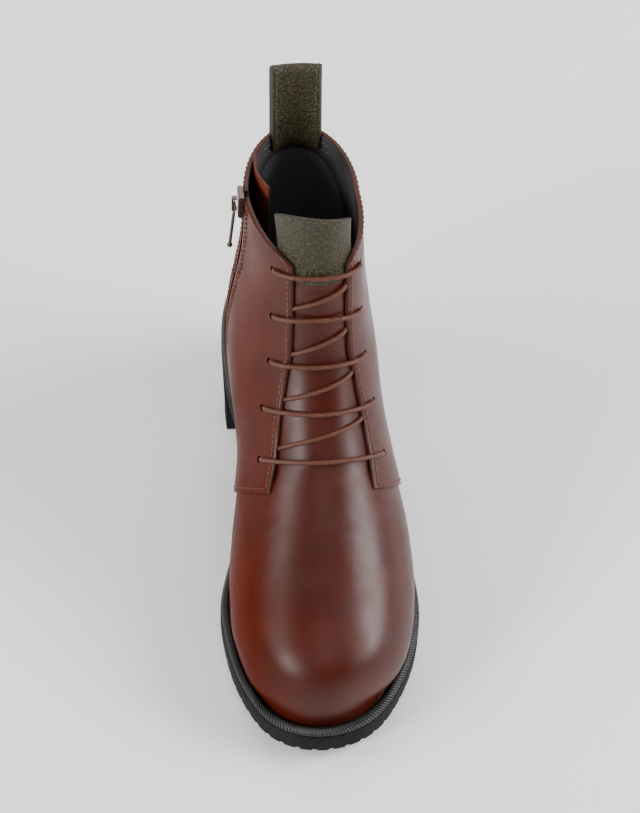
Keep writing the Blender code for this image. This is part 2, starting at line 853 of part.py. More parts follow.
def eyelet_cutter():
    """Pins through the facings where the lace holes are."""
    bm = bmesh.new()
    for number in range(EYELET_COUNT):
        for side in (INNER, OUTER):
            row, v = facing_point(number, side)
            radius = EYELET_RADIUS
            pin = bmesh.ops.create_cone(
                bm, cap_ends=True, segments=ROUND_SIDES, radius1=radius, radius2=radius, depth=5 * WALL
            )["verts"]
            bmesh.ops.rotate(bm, verts=pin, matrix=basis_along(frame_direction(skin_normal(row, v))))
            bmesh.ops.translate(bm, verts=pin, vec=place(skin_point(row, v)))
    return bpy.data.objects.new("eyelet_cutter", mesh_from(bm, "eyelet_cutter"))


# Tongue
def tongue_half_width(row):
    """Fills the gap at the vamp, then reaches under the facings."""
    reach = TONGUE_TUCK * float(ease((row - SEAM_ROW - 0.03) / 0.08))
    return facing_gap(row) - FIT + reach


def tongue_place(row, share, corner):
    """Row and v on the tongue. Its corners lie lower by `corner`, and its top leans inward."""
    row = row - corner * share ** 2
    lean = -TONGUE_SWING * float(ease((row - SEAM_ROW) / (TONGUE_TOP_ROW - SEAM_ROW) * 2 - 1))
    distance = share * tongue_half_width(row) + lean
    return row, v_from_ridge(row, abs(distance), OUTER if distance > 0 else INNER)


def build_tongue(name, first, last, rows):
    outer, inner, cells = {}, {}, []
    across = np.linspace(-1, 1, 2 * THROAT_COLUMNS + 1)
    for r, row in enumerate(np.linspace(first, last, rows)):
        sink = (WALL - QUARTER_STEP + FIT) * float(ease((row - SEAM_ROW) / 0.04))
        corner = TONGUE_CORNER * max(row - TONGUE_JOINT_ROW, 0.0) / (TONGUE_TOP_ROW - TONGUE_JOINT_ROW)
        for c, share in enumerate(across):
            at, v = tongue_place(row, share, corner)
            outer[r, c] = skin_offset(at, v, -sink)
            inner[r, c] = skin_offset(at, v, -sink - TONGUE_THICKNESS)
    for r in range(rows - 1):
        for c in range(len(across) - 1):
            cells.append(((r, c), (r, c + 1), (r + 1, c + 1), (r + 1, c)))
    return shell(name, outer, inner, cells)


# Pull loop over the back of the collar
def back_point(row, x, distance):
    """Beside the skin at the back of the heel, at a place across the seam."""
    side = OUTER if x > 0 else INNER
    return skin_offset(row, v_from_back(row, abs(x), side), distance)


def loop_line(height, step):
    """The strap's edge to edge line at a height over the collar, or below it, beside the wall."""
    collar = TOP_LINE[0][1]
    across = np.linspace(-LOOP_WIDTH / 2, LOOP_WIDTH / 2, 5)
    points = []
    for x in across:
        point = back_point(collar + min(height, 0.0) * ROWS_PER_METRE, x, step)
        middle = back_point(collar, 0.0, step)
        if height > 0:
            flat = 1 - LOOP_FLATTEN * float(ease(height / LOOP_HEIGHT))
            point[1] = middle[1] + (point[1] - middle[1]) * flat
            point[1] -= math.tan(math.radians(LOOP_LEAN)) * height
            point[2] += height
        points.append(point)
    return points


def build_pull_loop():
    """A strap that rises inside the collar, turns over and comes down behind it."""
    near = -(WALL - QUARTER_STEP + FIT)
    far = QUARTER_STEP + FIT
    legs = []
    for step, away in ((near, near - LOOP_THICKNESS), (far, far + LOOP_THICKNESS)):
        foot = -LOOP_INNER_LEG if step < 0 else -LOOP_OUTER_LEG
        heights = np.concatenate([np.linspace(foot, 0.0, 4), np.linspace(0.0, LOOP_HEIGHT, 6)[1:]])
        legs.append([(loop_line(z, step), loop_line(z, away)) for z in heights])
    rows = legs[0] + crown_rows(legs[0][-1], legs[1][-1]) + legs[1][::-1]
    close, away, cells = {}, {}, []
    for r, (near_line, far_line) in enumerate(rows):
        for c in range(len(near_line)):
            close[r, c] = near_line[c]
            away[r, c] = far_line[c]
    for r in range(len(rows) - 1):
        for c in range(len(rows[0][0]) - 1):
            cells.append(((r, c), (r, c + 1), (r + 1, c + 1), (r + 1, c)))
    return shell("pull_loop", away, close, cells)


def crown_rows(inner_pair, outer_pair):
    """Half round between the tops of the two legs."""
    rows = []
    for turn in np.linspace(0.0, math.pi, LOOP_ROWS)[1:-1]:
        lines = []
        for inner_line, outer_line in zip(inner_pair, outer_pair):
            points = []
            for a, b in zip(inner_line, outer_line):
                reach = (a - b) / 2
                up = np.array([0.0, 0.0, np.linalg.norm(reach)])
                points.append((a + b) / 2 + reach * math.cos(turn) + up * math.sin(turn))
            lines.append(points)
        rows.append(tuple(lines))
    return rows


# Zip
def zip_place(row):
    """Distance from the back along the skin, on the inner side, where the zip runs."""
    v = np.linspace(-1.0, -0.3, 141)
    line = np.array([skin_point(row, at) for at in v])
    wanted = ZIP_FOOT_S - ZIP_LEAN * (line[:, 2] - base_height(ZIP_FOOT_S))
    off = line[:, 1] - wanted
    k = int(np.argmax(off > 0))
    share = off[k - 1] / (off[k - 1] - off[k]) if k else 0.0
    at = v[k - 1] + (v[k] - v[k - 1]) * share if k else v[0]
    return (1 + at) * half_girth(row, INNER)


def zip_path(first, last, count):
    return [(row, zip_place(row), INNER) for row in np.linspace(first, last, count)]


def build_zip_tape():
    """Tape and teeth in the slot, flush with the leather."""
    level = QUARTER_STEP / 2 - ZIP_THICKNESS / 2
    path = zip_path(ZIP_FOOT_ROW + ZIP_END_ROWS, TOP_LINE[0][1] - 2 * ZIP_END_ROWS, ZIP_ROWS)
    return strip("zip_tape", path, ZIP_SLOT - 2 * FIT, level, level + ZIP_THICKNESS, 2)


def zip_cutter():
    """Slanted box that opens the slot, from above its foot to over the collar."""
    foot = skin_point(ZIP_FOOT_ROW, v_from_back(ZIP_FOOT_ROW, zip_place(ZIP_FOOT_ROW), INNER))
    length = 2 * UPPER_RISE
    bm = bmesh.new()
    box = bmesh.ops.create_cube(bm, size=1.0)["verts"]
    bmesh.ops.scale(bm, verts=box, vec=(SOLE_WIDTH / 2, ZIP_SLOT, length))
    bmesh.ops.translate(bm, verts=box, vec=(0.0, 0.0, length / 2))
    bmesh.ops.rotate(bm, verts=box, matrix=Matrix.Rotation(-math.atan(ZIP_LEAN), 3, "X"))
    bmesh.ops.translate(bm, verts=box, vec=place(foot))
    return bpy.data.objects.new("zip_cutter", mesh_from(bm, "zip_cutter"))


def slider_frame():
    """Place, outward direction and downward direction of the slider."""
    row = TOP_LINE[0][1] - SLIDER_DROP * ROWS_PER_METRE
    v = v_from_back(row, zip_place(row), INNER)
    out = frame_direction(skin_normal(row, v)).normalized()
    below = place(skin_point(row - 0.02, v)) - place(skin_point(row, v))
    below = (below - out * below.dot(out)).normalized()
    centre = place(skin_offset(row, v, QUARTER_STEP + FIT + SLIDER_THICKNESS / 2))
    return centre, out, below


def oriented_box(bm, centre, axes, size):
    box = bmesh.ops.create_cube(bm, size=1.0)["verts"]
    bmesh.ops.scale(bm, verts=box, vec=size)
    matrix = Matrix(axes).transposed()
    bmesh.ops.rotate(bm, verts=box, matrix=matrix)
    bmesh.ops.translate(bm, verts=box, vec=centre)
    return box


def build_slider():
    """Slider body, narrower at its lower end."""
    centre, out, below = slider_frame()
    side = out.cross(below)
    bm = bmesh.new()
    body = oriented_box(bm, centre, (side, below, out), (SLIDER_WIDTH, SLIDER_LENGTH, SLIDER_THICKNESS))
    for vert in body:
        if (vert.co - centre).dot(below) > 0:
            vert.co -= side * (vert.co - centre).dot(side) * SLIDER_TAPER
    bmesh.ops.bevel(bm, geom=bm.edges[:], offset=SLIDER_THICKNESS / 4, segments=2, affect="EDGES")
    return mesh_from(bm, "zip_slider")


def build_bridge():
    """Staple over the slider that the pull's pin runs under."""
    centre, out, below = slider_frame()
    half = side_of_slider() * (BRIDGE_WIDTH / 2)
    foot = SLIDER_THICKNESS / 2 + FIT
    under = foot + BRIDGE_GAP
    top = under + BRIDGE_THICKNESS
    end = BRIDGE_LENGTH / 2
    inner_end = end - BRIDGE_THICKNESS
    profile = (
        (-end, foot), (-end, top), (end, top), (end, foot),
        (inner_end, foot), (inner_end, under), (-inner_end, under), (-inner_end, foot),
    )
    bm = bmesh.new()
    corners = [centre + below * along + out * height for along, height in profile]
    left = [bm.verts.new(p - half) for p in corners]
    right = [bm.verts.new(p + half) for p in corners]
    for layer in (left, right):
        bm.faces.new((layer[0], layer[1], layer[6], layer[7]))
        bm.faces.new((layer[1], layer[2], layer[5], layer[6]))
        bm.faces.new((layer[2], layer[3], layer[4], layer[5]))
    for k in range(len(corners)):
        n = (k + 1) % len(corners)
        bm.faces.new((left[k], left[n], right[n], right[k]))
    return mesh_from(bm, "zip_bridge")


def side_of_slider():
    _, out, below = slider_frame()
    return out.cross(below).normalized()


def pin_place():
    centre, out, _ = slider_frame()
    return centre + out * (SLIDER_THICKNESS / 2 + FIT + BRIDGE_GAP / 2)


def tube(bm, points, radius, closed=False, segments=8):
    """Round tube through points, as one closed body."""
    rings = []
    count = len(points)
    for k, point in enumerate(points):
        before = points[k - 1] if closed or k else points[k]
        after = points[(k + 1) % count] if closed or k < count - 1 else points[k]
        along = (after - before).normalized()
        flat = along.orthogonal() if not rings else rings[-1][1]
        flat = (flat - along * flat.dot(along)).normalized()
        other = along.cross(flat)
        ring = []
        for turn in range(segments):
            angle = 2 * math.pi * turn / segments
            ring.append(bm.verts.new(point + (flat * math.cos(angle) + other * math.sin(angle)) * radius))
        rings.append((ring, flat))
    last = count if closed else count - 1
    for k in range(last):
        ring, following = rings[k][0], rings[(k + 1) % count][0]
        for turn in range(segments):
            n = (turn + 1) % segments
            bm.faces.new((ring[turn], ring[n], following[n], following[turn]))
    if not closed:
        bm.faces.new(rings[0][0][::-1])
        bm.faces.new(rings[-1][0])


def build_pull():
    """Wire ring through the bridge, a thin rod and a ball end, about the pin."""
    _, out, below = slider_frame()
    side = side_of_slider()
    half = BRIDGE_WIDTH / 2 + FIT + PIN_RADIUS
    reach = BRIDGE_LENGTH / 2 + FIT + 3 * PIN_RADIUS
    lean = out * math.sin(math.radians(PULL_LEAN)) + below * math.cos(math.radians(PULL_LEAN))
    corner = PIN_RADIUS
    ring = [
        side * (half - corner), side * half + lean * corner, side * half + lean * (reach - corner),
        side * (half - corner) + lean * reach, -side * (half - corner) + lean * reach,
        -side * half + lean * (reach - corner), -side * half + lean * corner, -side * (half - corner),
    ]
    bm = bmesh.new()
    tube(bm, [Vector(p) for p in ring], PIN_RADIUS, closed=True)
    body = mesh_from(bm, "zip_pull")
    bm = bmesh.new()
    rings = []
    for along, radius in rod_profile():
        centre = lean * (reach + along * (PULL_LENGTH - reach))
        ring = []
        for turn in range(ROUND_SIDES):
            angle = 2 * math.pi * turn / ROUND_SIDES
            flat = side * math.cos(angle) + lean.cross(side) * math.sin(angle)
            ring.append(bm.verts.new(centre + flat * radius))
        rings.append(ring)
    for ring, following in zip(rings, rings[1:]):
        for turn in range(ROUND_SIDES):
            n = (turn + 1) % ROUND_SIDES
            bm.faces.new((ring[turn], ring[n], following[n], following[turn]))
    bm.faces.new(rings[0][::-1])
    bm.faces.new(rings[-1])
    return body, mesh_from(bm, "pull_rod")


def rod_profile():
    """Share of the rod's length and its radius there: plain rod, then a ball."""
    profile = [(-0.012, PULL_RADIUS), (0.86, PULL_RADIUS)]
    for turn in np.linspace(-0.9, 1.45, 7):
        profile.append((0.94 + 0.06 * math.sin(turn), BALL_RADIUS * math.cos(turn)))
    return profile


def build_guard():
    """Flap behind the zip, sewn toward the heel, its free edge standing in."""
    outer, inner, cells = {}, {}, []
    rows = np.linspace(TOP_LINE[0][1] - GUARD_LENGTH * ROWS_PER_METRE, TOP_LINE[0][1] + 0.012, 8)
    shares = np.linspace(0.0, 1.0, 7)
    near = WALL - QUARTER_STEP + FIT
    for i, row in enumerate(rows):
        for j, share in enumerate(shares):
            v = v_from_back(row, GUARD_START + share * GUARD_WIDTH, INNER)
            stand = near + GUARD_STAND * share ** GUARD_CURL
            outer[i, j] = skin_offset(row, v, -stand)
            inner[i, j] = skin_offset(row, v, -stand - GUARD_THICKNESS)
    for i in range(len(rows) - 1):
        for j in range(len(shares) - 1):
            cells.append(((i, j), (i + 1, j), (i + 1, j + 1), (i, j + 1)))
    return shell("zip_guard", outer, inner, cells)


# Laces
def lace_lift(row, distance):
    """Height of the lace's middle over the skin: on the facings, and lower over the tongue."""
    on_facing = QUARTER_STEP + FIT + LACE_RADIUS + LACE_SLACK
    over_tongue = LACE_RADIUS + LACE_SLACK
    share = ease((abs(distance) - 0.4 * facing_gap(row)) / (0.5 * facing_gap(row)))
    return over_tongue + (on_facing - over_tongue) * float(share)


def lace_point(row, distance):
    side = OUTER if distance > 0 else INNER
    v = v_from_ridge(row, abs(distance), side)
    return place(skin_offset(row, v, lace_lift(row, distance)))


def lace_route():
    """Bars across and diagonals between them, in one run from the top hole to the bottom."""
    points = []
    turn_rows = LACE_TURN * ROWS_PER_METRE
    for number in range(EYELET_COUNT):
        row_in, v_in = facing_point(number, INNER)
        row_out, v_out = facing_point(number, OUTER)
        start = v_in * half_girth(row_in, INNER)
        end = v_out * half_girth(row_out, OUTER)
        for share in np.linspace(0.0, 1.0, 9):
            row = row_in + (row_out - row_in) * share - LACE_SAG * math.sin(math.pi * share)
            points.append(lace_point(row, start + (end - start) * share))
        if number == EYELET_COUNT - 1:
            break
        points.append(lace_point(row_out - turn_rows * 0.5, end + LACE_TURN * 0.4))
        next_row, next_v = facing_point(number + 1, INNER)
        finish = next_v * half_girth(next_row, INNER)
        first = row_out - turn_rows
        last = next_row + turn_rows
        for share in np.linspace(0.0, 1.0, 8):
            points.append(lace_point(first + (last - first) * share, end + (finish - end) * share))
        points.append(lace_point(last - turn_rows * 0.5, finish - LACE_TURN * 0.4))
    return points


def build_laces():
    curve = bpy.data.curves.new("laces", "CURVE")
    curve.dimensions = "3D"
    curve.bevel_depth = LACE_RADIUS
    curve.bevel_resolution = 1
    curve.use_fill_caps = True
    route = lace_route()
    spline = curve.splines.new("POLY")
    spline.points.add(len(route) - 1)
    for point, at in zip(spline.points, route):
        point.co = (*at, 1.0)
    return curve


# Materials: colour, roughness
SMOOTH_LEATHER = ("smooth_leather", (0.115, 0.024, 0.011), 0.28)
OLIVE_LEATHER = ("pebbled_leather", (0.045, 0.043, 0.026), 0.55)
GUARD_LEATHER = ("guard_leather", (0.24, 0.055, 0.018), 0.45)
BLACK_RUBBER = ("black_rubber", (0.012, 0.012, 0.012), 0.6)
WELT_RUBBER = ("welt_rubber", (0.02, 0.018, 0.017), 0.55)
INSOLE_CLOTH = ("insole_lining", (0.012, 0.012, 0.014), 0.8)
LACE_CORD = ("lace_cord", (0.10, 0.028, 0.014), 0.45)
ZIP_CLOTH = ("zip_tape", (0.06, 0.02, 0.012), 0.7)
BROWN_METAL = ("painted_metal", (0.11, 0.03, 0.018), 0.35)


def build_boot():
    fresh_scene()
    boot = make_collection("lace_up_ankle_boot")
    cutters = make_collection("cutters")
    cutters.hide_render = True
    root = bpy.data.objects.new("boot", None)
    boot.objects.link(root)

    def add(name, data, look):
        return add_object(name, data, make_material(*look), boot, root)

    outsole = add("outsole", build_outsole(), BLACK_RUBBER)
    grooves = groove_cutter("sole_grooves", GROOVE_START * SOLE_LENGTH, SOLE_LENGTH, 0.0, sole_bottom)
    cut(outsole, grooves, cutters)
    add("heel", build_heel(), BLACK_RUBBER)
    add("heel_top_lift", build_top_lift(), BLACK_RUBBER)
    add("welt", build_welt(), WELT_RUBBER)
    add("insole", build_insole(), INSOLE_CLOTH)
    upper = add("upper", build_upper(), SMOOTH_LEATHER)
    cut(upper, eyelet_cutter(), cutters)
    cut(upper, zip_cutter(), cutters)
    joint = TONGUE_JOINT_ROW
    gap = FIT * ROWS_PER_METRE
    foot = SEAM_ROW + 2 * gap
    add("tongue", build_tongue("tongue", foot, joint - gap, TONGUE_ROWS), SMOOTH_LEATHER)
    top = build_tongue("tongue_top", joint + gap, TONGUE_TOP_ROW, TONGUE_TIP_ROWS)
    add("tongue_top", top, OLIVE_LEATHER)
    add("pull_loop", build_pull_loop(), OLIVE_LEATHER)
    add("zip_tape", build_zip_tape(), ZIP_CLOTH)
    add("zip_slider", build_slider(), BROWN_METAL)
    add("zip_bridge", build_bridge(), BROWN_METAL)
    add("zip_guard", build_guard(), GUARD_LEATHER)
    add("laces", build_laces(), LACE_CORD)

    hinge = bpy.data.objects.new("zip_pull_hinge", None)
    hinge.location = pin_place()
    hinge.parent = root
    boot.objects.link(hinge)
    ring, rod = build_pull()
    pull = add_object("zip_pull", ring, make_material(*BROWN_METAL), boot, hinge)
    rod_object = bpy.data.objects.new("pull_rod", rod)
    rod_object.parent = hinge
    rod_object.hide_render = True
    rod_object.display_type = "WIRE"
    cutters.objects.link(rod_object)
    union = pull.modifiers.new("pull_rod", "BOOLEAN")
    union.operation = "UNION"
    union.solver = "EXACT"
    union.object = rod_object


build_boot()
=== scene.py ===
"""Looks of the left lace-up ankle boot: leather, stitches, laces, zip and ribbed welt.

The boot's sizes and the skin of its upper are worked out as in the model's own source, so that
every panel, seam and lace lies on it. Places are (x, s, z) until `world` turns them round.
"""

import math

import bmesh
import bpy
import numpy as np
from mathutils import Matrix, Vector

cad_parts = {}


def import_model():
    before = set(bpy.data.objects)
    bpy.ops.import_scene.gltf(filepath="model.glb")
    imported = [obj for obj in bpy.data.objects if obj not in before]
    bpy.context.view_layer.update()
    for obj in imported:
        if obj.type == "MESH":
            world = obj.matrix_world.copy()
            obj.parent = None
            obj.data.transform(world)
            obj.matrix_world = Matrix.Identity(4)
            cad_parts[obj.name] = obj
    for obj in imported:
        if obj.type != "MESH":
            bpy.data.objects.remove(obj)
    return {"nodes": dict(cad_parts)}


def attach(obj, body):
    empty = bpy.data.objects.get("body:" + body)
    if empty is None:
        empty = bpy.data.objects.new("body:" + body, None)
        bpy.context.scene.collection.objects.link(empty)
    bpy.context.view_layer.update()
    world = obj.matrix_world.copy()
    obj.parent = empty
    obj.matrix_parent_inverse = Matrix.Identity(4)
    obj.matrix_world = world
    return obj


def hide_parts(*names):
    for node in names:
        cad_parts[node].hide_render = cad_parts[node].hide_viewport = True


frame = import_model()

# Sole and heel
SOLE_LENGTH = 0.255
SOLE_WIDTH = 0.0965
TOE_SWING = 0.0035
HEEL_SWING = 0.0018
TOE_SPRING = 0.0065
OUTSOLE_THICKNESS = 0.0120
HEEL_HEIGHT = 0.0580
HEEL_LENGTH = 0.0600
HEEL_TAPER = 0.0016
LIFT_THICKNESS = 0.0060
GROOVE_DEPTH = 0.0018
GROOVE_WIDTH = 0.0024
GROOVE_PITCH = 0.0078
GROOVE_START = 0.6
FLAT_START = 0.66
FLAT_END = 0.77
SHANK_START = 0.10
SEAT_SLOPE = 0.12
SPRING_CURVE = 1.6
SHANK_THIN = 0.55
SHANK_END = 0.42
SHANK_RUN = 0.16
BREAST_LEAN = 0.04
LEDGE_START = 0.25
LEDGE_RUN = 0.35
TOE_START = 0.86
TOE_SWING_START = 0.72
HEEL_SWING_START = 0.55
HEEL_SWING_RUN = 0.35

# Welt
WELT_HEIGHT = 0.0028
LEDGE_FRONT = 0.0052
LEDGE_BACK = 0.0032
LEDGE_TOE = 0.0064
WELT_INSET = 0.0006

# Upper
UPPER_RISE = 0.1100
WALL = 0.0020
QUARTER_STEP = 0.0014
LAP = 0.0070
THROAT_GAP = 0.0540
EYELET_COUNT = 5
EYELET_PITCH = 0.0232
EYELET_START = 0.0058
EYELET_INSET = 0.0112
EYELET_RADIUS = 0.0016

# Tongue and laces
TONGUE_THICKNESS = 0.0016
TONGUE_TUCK = 0.0090
TONGUE_JOINT_ROW = 0.925
TONGUE_TOP_ROW = 1.12
TONGUE_SWING = 0.0040
LACE_TURN = 0.0036

# Pull loop
LOOP_WIDTH = 0.0228
LOOP_HEIGHT = 0.0340
LOOP_THICKNESS = 0.0017
LOOP_INNER_LEG = 0.0120
LOOP_OUTER_LEG = 0.0240
LOOP_LEAN = 6.0
LOOP_FLATTEN = 0.7

# Zip on the inner side
ZIP_FOOT_S = 0.0620
ZIP_LEAN = 0.072
ZIP_SLOT = 0.0060
ZIP_FOOT_ROW = 0.70
SLOT_CLOSED = 0.62
GUARD_START = 0.0300
GUARD_WIDTH = 0.0220
GUARD_LENGTH = 0.0420
GUARD_STAND = 0.0090
GUARD_THICKNESS = 0.0012
GUARD_CURL = 1.6

# Clearances
FIT = 0.0003

# Points of the curves and of the skin's grid
OUTLINE_POINTS = 241
TURN_POINTS = 240
GIRTH_POINTS = 41
GIRTH_ROWS = 60
CELL_END = 1.001
ARC_POINTS = 121
SKIN_ROWS = 281

# Outline of the sole: share of the length from the heel, share of a plain oval on the inner
# and the outer side
OUTLINE = (
    (0.00, 1.34, 1.34),
    (0.05, 1.26, 1.23),
    (0.12, 1.12, 1.05),
    (0.25, 0.875, 0.80),
    (0.40, 0.66, 0.745),
    (0.55, 0.80, 0.915),
    (0.70, 1.065, 1.10),
    (0.80, 1.135, 1.175),
    (0.90, 1.19, 1.25),
    (1.00, 1.38, 1.45),
)

# Fan of sections from the toe to above the collar: row, back end and front end of the section
# as shares of the sole's length and of the upper's rise above the sole
FAN_PROFILE = (
    (0.00, 0.910, 0.000, 0.9749, 0.000),
    (0.07, 0.888, 0.000, 0.9715, 0.060),
    (0.14, 0.850, 0.000, 0.9570, 0.142),
    (0.21, 0.798, 0.000, 0.9290, 0.220),
    (0.30, 0.718, 0.000, 0.8600, 0.305),
    (0.39, 0.628, 0.000, 0.7730, 0.372),
    (0.47, 0.540, 0.000, 0.6940, 0.432),
    (0.54, 0.452, 0.000, 0.6270, 0.494),
    (0.60, 0.353, 0.000, 0.5730, 0.556),
    (0.66, 0.216, 0.000, 0.5250, 0.612),
    (0.72, 0.084, 0.000, 0.4860, 0.672),
    (0.77, 0.0130, 0.000, 0.4590, 0.722),
    (0.83, 0.0080, 0.200, 0.4290, 0.802),
    (0.89, 0.0240, 0.455, 0.4040, 0.880),
    (0.94, 0.0420, 0.710, 0.3880, 0.942),
    (1.00, 0.0470, 0.990, 0.3760, 1.000),
    (1.12, 0.0400, 1.200, 0.3600, 1.150),
)

# Widths of the fan: row, level of the widest place in the section, half widths on the inner
# and the outer side as shares of half the sole's width, fullness of the top, shift of the ridge
FAN_WIDTHS = (
    (0.00, 0.05, 0.560, 0.560, -0.30, -0.020),
    (0.07, 0.06, 0.640, 0.660, -0.30, -0.020),
    (0.14, 0.12, 0.720, 0.755, -0.24, -0.020),
    (0.21, 0.20, 0.810, 0.845, -0.12, -0.015),
    (0.30, 0.28, 0.890, 0.915, 0.00, -0.005),
    (0.39, 0.31, 0.880, 0.950, 0.00, 0.010),
    (0.47, 0.32, 0.830, 0.930, 0.00, 0.025),
    (0.54, 0.34, 0.750, 0.865, 0.00, 0.045),
    (0.60, 0.38, 0.680, 0.785, 0.00, 0.090),
    (0.66, 0.44, 0.680, 0.720, 0.02, 0.110),
    (0.72, 0.48, 0.710, 0.700, 0.04, 0.117),
    (0.77, 0.50, 0.715, 0.670, 0.06, 0.117),
    (0.83, 0.50, 0.655, 0.615, 0.08, 0.117),
    (0.89, 0.50, 0.575, 0.565, 0.10, 0.117),
    (0.94, 0.50, 0.540, 0.540, 0.10, 0.117),
    (1.00, 0.50, 0.530, 0.525, 0.10, 0.117),
    (1.12, 0.50, 0.535, 0.530, 0.10, 0.117),
)
HEEL_ROW = 0.77
SEAM_ROW = 0.54
TOE_BLEND = 0.14
BASE_LEAN = 0.15
WALL_FRONT = 0.010
WALL_BACK = 0.034
WALL_ROW = 0.6
WALL_ROWS = 0.15
FOOT_MARGIN = 0.0002
FOOT_SHARE_LEAST = 0.1
UPRIGHT_START = 0.3
UPRIGHT_RUN = 0.5
EVEN_SHARE = 0.5
HEEL_BLEND = 0.18
HEEL_KEPT = 0.006
HEEL_PASSES = 160
TOE_EVEN = 0.34
TOE_KEPT = 0.0006
TOE_PASSES = 240
ROWS_PER_METRE = 2.1

# Part of the ledge that stays clear beside the upper: share of the length, share of the ledge
LEDGE_CLEAR = (
    (0.00, 0.70),
    (0.30, 0.64),
    (0.42, 0.58),
    (0.48, 0.28),
    (0.68, 0.20),
    (0.78, 0.35),
    (0.86, 0.50),
    (0.93, 0.22),
    (1.00, 0.18),
)

# Top line of the quarters: share of the way from the back to the facing's edge, row of the fan
TOP_LINE = (
    (0.00, 1.000),
    (0.45, 1.000),
    (0.62, 0.998),
    (0.76, 0.995),
    (0.87, 0.989),
    (0.95, 0.980),
    (1.00, 0.964),
)

# Gap between the facings: row of the fan, share of the gap at the throat's foot
THROAT_LINE = (
    (0.54, 1.000),
    (0.60, 0.900),
    (0.70, 0.710),
    (0.80, 0.550),
    (0.88, 0.505),
    (1.02, 0.500),
    (1.12, 0.550),
)


# Shared curves
def ease(share):
    share = np.clip(share, 0.0, 1.0)
    return share * share * (3.0 - 2.0 * share)


def unit(vectors):
    """The same directions with length 1."""
    return vectors / np.linalg.norm(vectors, axis=-1)[..., None]


def smooth(table, column, at):
    """Curve without overshoot through one column of a table whose first column is the place."""
    places = np.array([row[0] for row in table])
    values = np.array([row[column] for row in table])
    secants = np.diff(values) / np.diff(places)
    slopes = np.concatenate([secants[:1], np.zeros(len(places) - 2), secants[-1:]])
    for k in range(1, len(places) - 1):
        if secants[k - 1] * secants[k] > 0:
            slopes[k] = 2 * secants[k - 1] * secants[k] / (secants[k - 1] + secants[k])
    at = np.clip(at, places[0], places[-1])
    cell = np.clip(np.searchsorted(places, at, side="right") - 1, 0, len(places) - 2)
    span = places[cell + 1] - places[cell]
    t = (at - places[cell]) / span
    left = values[cell] * (1 + 2 * t) * (1 - t) ** 2 + values[cell + 1] * t * t * (3 - 2 * t)
    return left + slopes[cell] * span * t * (1 - t) ** 2 - slopes[cell + 1] * span * t * t * (1 - t)


def run_lengths(points):
    """Length along a polyline up to each of its points."""
    steps = np.linalg.norm(np.diff(points[:, :3], axis=0), axis=1)
    return np.concatenate([[0.0], np.cumsum(steps)])


def along_line(points, at):
    """Points at lengths along a polyline, with what its further columns hold there."""
    length = run_lengths(points)
    return np.column_stack([np.interp(at, length, column) for column in points.T])


def resample(points, count):
    """Points at equal steps of length along a polyline."""
    return along_line(points, np.linspace(0.0, run_lengths(points)[-1], count))


def even_steps(points, pitch):
    """Points about a pitch apart, each in the middle of its own step."""
    length = run_lengths(points)[-1]
    count = max(int(length / pitch), 1)
    return along_line(points, (np.arange(count) + 0.5) * length / count)


# Sole lines
INNER = -1
OUTER = 1


def sole_half_width(s, side):
    share = np.clip(s / SOLE_LENGTH, 0.0, 1.0)
    oval = 2.0 * np.sqrt(share * (1.0 - share)) * SOLE_WIDTH / 2
    return oval * smooth(OUTLINE, 1 if side == INNER else 2, share)


def sole_bottom(s):
    """Underside of the platform: flat under the ball, sprung at the toe."""
    beyond = np.clip((s - FLAT_END * SOLE_LENGTH) / ((1 - FLAT_END) * SOLE_LENGTH), 0, None)
    return TOE_SPRING * beyond ** SPRING_CURVE


def sole_top(s):
    s = np.asarray(s, dtype=float)
    seat = HEEL_HEIGHT + SEAT_SLOPE * (HEEL_LENGTH - s)
    climb = ease((FLAT_START - s / SOLE_LENGTH) / (FLAT_START - SHANK_START))
    return OUTSOLE_THICKNESS + sole_bottom(s) + (seat - OUTSOLE_THICKNESS) * climb


def axis_x(s):
    """Middle line: straight under the ball, swung inward at the toe and the heel."""
    share = s / SOLE_LENGTH
    toe = TOE_SWING * ease((share - TOE_SWING_START) / (1 - TOE_SWING_START))
    return -toe - HEEL_SWING * ease((HEEL_SWING_START - share) / HEEL_SWING_RUN)


def outline(inset, start=0.0, end=None):
    """Inner and outer edge of the sole, from the heel to the toe, moved in by a distance."""
    end = SOLE_LENGTH if end is None else end
    sides = []
    turn = np.linspace(0.0, math.pi, OUTLINE_POINTS)
    s = start + (end - start) * (1 - np.cos(turn)) / 2
    for side in (INNER, OUTER):
        edge = np.column_stack([axis_x(s) + side * sole_half_width(s, side), s])
        along = unit(np.gradient(edge, axis=0))
        out = np.column_stack([along[:, 1], -along[:, 0]]) * side
        if start == 0.0:
            out[0] = (0.0, -1.0)
        if end == SOLE_LENGTH:
            out[-1] = (0.0, 1.0)
        depth = inset(s) if callable(inset) else inset
        sides.append(edge - out * np.reshape(depth, (-1, 1) if np.ndim(depth) else ()))
    return sides


def ledge(s):
    """Width of the sole's rim outside the upper's line: narrow behind, widest at the toe."""
    share = s / SOLE_LENGTH
    front = (LEDGE_FRONT - LEDGE_BACK) * ease((share - LEDGE_START) / LEDGE_RUN)
    return LEDGE_BACK + front + (LEDGE_TOE - LEDGE_FRONT) * ease((share - TOE_START) / (1 - TOE_START))


FEATHER = outline(ledge)
FEATHER_TOE = FEATHER[0][-1, 1]
FEATHER_HEEL = FEATHER[0][0, 1]


def feather_x(s, side):
    edge = FEATHER[0 if side == INNER else 1]
    return np.interp(s, edge[:, 1], edge[:, 0])


def base_height(s):
    return sole_top(s) + FIT


X_SHIFT = -(outline(0.0)[0][:, 0].min() + outline(0.0)[1][:, 0].max()) / 2


